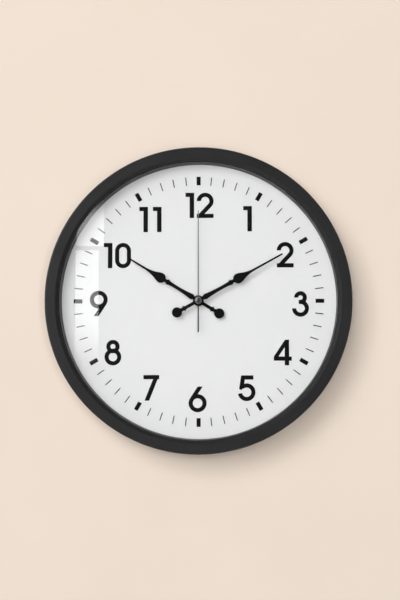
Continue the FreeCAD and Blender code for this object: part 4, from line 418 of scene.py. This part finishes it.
def make_wall():
    """A painted wall behind the clock, clear from behind so that the back can be looked at."""
    wall = flat_sheet("wall", WALL_SIDE, WALL_SIDE, (0, WALL_GAP, 0), (radians(90), 0, 0))
    paint = Material("wall_paint", roughness=0.85).set(Specular_IOR_Level=0.2)
    cloud = paint.noise(0.14, 4.0, 0.55)
    stipple = paint.noise(0.002, 4.0, 0.6)
    paint.colour(paint.ramp(cloud, ((0.3, (0.780, 0.668, 0.568)), (0.7, (0.800, 0.690, 0.592)))))
    paint.relief((stipple, 0.00012, 0.25), (cloud, 0.002, 0.1))
    side = paint.tree.nodes.new("ShaderNodeNewGeometry")
    paint.clear_where(side.outputs["Backfacing"])
    wall.data.materials.append(paint.data)
    wall.visible_shadow = False


def make_floor():
    """A pale floor well below the clock. It throws no light onto the wall or the dial."""
    floor = flat_sheet("floor", WALL_SIDE, WALL_SIDE, (0, 0, FLOOR_LEVEL), (0, 0, 0))
    paint = Material("floor_paint", roughness=0.7)
    paint.colour(paint.ramp(paint.noise(0.3, 3.0), shades((0.6, 0.58, 0.56), 0.02)))
    floor.data.materials.append(paint.data)
    floor.visible_diffuse = False
    floor.visible_transmission = False


def area_light(name, place, size, power, in_mirrors=True, on_surfaces=True):
    """A soft light aimed at the clock. It can be left out of reflections, or show in nothing else."""
    lamp = bpy.data.lights.new(name, "AREA")
    lamp.shape = "RECTANGLE"
    lamp.size, lamp.size_y = size
    lamp.energy = power
    light = bpy.data.objects.new(name, lamp)
    light.location = place
    light.rotation_euler = (-Vector(place)).to_track_quat("-Z", "Y").to_euler()
    light.visible_glossy = in_mirrors
    light.visible_diffuse = on_surfaces
    light.visible_camera = False
    light.visible_transmission = False
    bpy.context.scene.collection.objects.link(light)


def make_lights():
    """Places and sizes in metres, powers in watts. Key and fill stay out of what the glass mirrors."""
    area_light("key", (-1.3, -3.6, 1.15), (2.2, 2.2), 97, in_mirrors=False)
    area_light("fill", (0.25, -3.4, -0.2), (1.4, 1.4), 61, in_mirrors=False)
    area_light("gloss", (-1.7, -1.6, 0.6), (1.2, 1.6), 42, on_surfaces=False)
    area_light("rear_key", (-1.1, 1.7, 1.3), (1.2, 1.2), 85)
    area_light("rear_fill", (1.6, 1.9, 0.6), (1.6, 1.6), 42)


# Strengths of the surround as the camera, a matt surface and a mirror see it. In the dark cone, between
# these cosines from straight ahead of the clock, a mirror sees less and less of it.
SURROUND_SEEN = 0.95
SURROUND_LIGHT = 0.1
SURROUND_REFLECTED = 0.4
DARK_CONE_REFLECTED = 0.02
DARK_CONE_INSIDE = 0.985
DARK_CONE_OUTSIDE = 0.90


def make_world():
    """A pale surround. What the flat glass mirrors, straight in front of it, is dark."""
    world = bpy.data.worlds.new("surround")
    bpy.context.scene.world = world
    world.use_nodes = True
    world.cycles_visibility.transmission = False
    tree = world.node_tree
    tree.nodes.clear()

    def background(colour, strength):
        node = tree.nodes.new("ShaderNodeBackground")
        node.inputs["Color"].default_value = (*colour, 1)
        node.inputs["Strength"].default_value = strength
        return node

    def switched(factor, one, other):
        node = tree.nodes.new("ShaderNodeMixShader")
        for target, source in zip(node.inputs, (factor, one, other)):
            tree.links.new(source, target)
        return node.outputs[0]

    warm_white = (1.0, 0.97, 0.94)
    seen = background((0.86, 0.80, 0.74), SURROUND_SEEN)
    light = background(warm_white, SURROUND_LIGHT)
    mirrored = background(warm_white, SURROUND_REFLECTED)
    direction = tree.nodes.new("ShaderNodeTexCoord")
    apart = tree.nodes.new("ShaderNodeSeparateXYZ")
    ahead = tree.nodes.new("ShaderNodeMath")
    ahead.operation = "MULTIPLY"
    ahead.inputs[1].default_value = -1
    cone = tree.nodes.new("ShaderNodeMapRange")
    tree.links.new(direction.outputs["Generated"], apart.inputs[0])
    tree.links.new(apart.outputs["Y"], ahead.inputs[0])
    tree.links.new(ahead.outputs[0], cone.inputs["Value"])
    cone.interpolation_type = "SMOOTHSTEP"
    cone.inputs["From Min"].default_value = DARK_CONE_OUTSIDE
    cone.inputs["From Max"].default_value = DARK_CONE_INSIDE
    cone.inputs["To Min"].default_value = SURROUND_REFLECTED
    cone.inputs["To Max"].default_value = DARK_CONE_REFLECTED
    tree.links.new(cone.outputs[0], mirrored.inputs["Strength"])
    path = tree.nodes.new("ShaderNodeLightPath")
    indirect = switched(path.outputs["Is Glossy Ray"], light.outputs[0], mirrored.outputs[0])
    surround = switched(path.outputs["Is Camera Ray"], indirect, seen.outputs[0])
    output = tree.nodes.new("ShaderNodeOutputWorld")
    tree.links.new(surround, output.inputs["Surface"])


# ---------------------------------------------------------------- camera, and what the glass mirrors

FOCAL_LENGTH = 85.0
SENSOR = 36.0
RING_SHARE = 0.51433  # the ring's diameter in the picture's height
CLOCK_SHIFT = (-0.0035, 0.0005)  # right and up from the picture's centre, in picture heights
VIEW_FROM_RIGHT = radians(2.0)
VIEW_FROM_BELOW = radians(4.0)


def make_camera():
    """In front of the clock, a little below and to the right, so far off that the ring has its share."""
    view_height = (cad_high.x - cad_low.x) / RING_SHARE
    distance = view_height * FOCAL_LENGTH / SENSOR
    data = bpy.data.cameras.new("camera")
    data.lens = FOCAL_LENGTH
    data.sensor_width = SENSOR
    camera = bpy.data.objects.new("camera", data)
    sideways, up = CLOCK_SHIFT
    aim = Vector((-sideways * view_height, cad_low.y, -up * view_height))
    away = Vector((
        sin(VIEW_FROM_RIGHT) * cos(VIEW_FROM_BELOW),
        -cos(VIEW_FROM_RIGHT) * cos(VIEW_FROM_BELOW),
        -sin(VIEW_FROM_BELOW),
    ))
    camera.location = aim + away * distance
    camera.rotation_euler = (-away).to_track_quat("-Z", "Y").to_euler()
    bpy.context.scene.collection.objects.link(camera)
    bpy.context.scene.camera = camera
    return camera


# Where the window's panes show in the glass, in metres from the axis: (left, right, bottom, top), and how
# far the bottom and top edges fade
WINDOW_PANES = (
    ("upper_pane", (-0.1215, -0.0935, 0.0535, 0.1010), (0.001, 0.020)),
    ("lower_pane", (-0.1225, -0.0985, -0.0720, 0.0505), (0.060, 0.001)),
)
WINDOW_DISTANCE = 1.9
WINDOW_BRIGHTNESS = 4.7
SIDE_FADE = 0.002


def make_window(camera):
    """A window behind the camera that shows only as a reflection in the glass."""
    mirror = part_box("glass_lens")[0].y
    eye = camera.location
    scale = 1 + WINDOW_DISTANCE

    def mirrored(place, eye_place):
        return place + (place - eye_place) * WINDOW_DISTANCE

    for name, (left, right, bottom, top), (bottom_fade, top_fade) in WINDOW_PANES:
        width = (right - left) * scale
        height = (top - bottom) * scale
        centre = (
            mirrored((left + right) / 2, eye.x),
            mirror - WINDOW_DISTANCE * (mirror - eye.y),
            mirrored((bottom + top) / 2, eye.z),
        )
        pane = flat_sheet(name, width, height, centre, (radians(90), 0, 0))
        for ray in ("camera", "diffuse", "shadow", "transmission"):
            setattr(pane, "visible_" + ray, False)
        glow = Material(name)
        light = glow.tree.nodes.new("ShaderNodeEmission")
        edges = (
            ("X", -width / 2, SIDE_FADE),
            ("X", width / 2, -SIDE_FADE),
            ("Y", -height / 2, bottom_fade * scale),
            ("Y", height / 2, -top_fade * scale),
        )
        strength = WINDOW_BRIGHTNESS
        for axis, edge, fade in edges:
            rise = glow.tree.nodes.new("ShaderNodeMapRange")
            rise.interpolation_type = "SMOOTHSTEP"
            rise.inputs["From Min"].default_value = edge
            rise.inputs["From Max"].default_value = edge + fade
            glow.link(glow.axis(axis), rise.inputs["Value"])
            strength = glow.math("MULTIPLY", rise.outputs[0], strength)
        glow.link(strength, light.inputs["Strength"])
        glow.link(light.outputs[0], glow.output.inputs["Surface"])
        pane.data.materials.append(glow.data)


finish_nodes(make_materials())
make_wall()
make_floor()
make_world()
make_lights()
make_window(make_camera())

scene = bpy.context.scene
scene.view_settings.view_transform = "Standard"
scene.view_settings.look = "None"
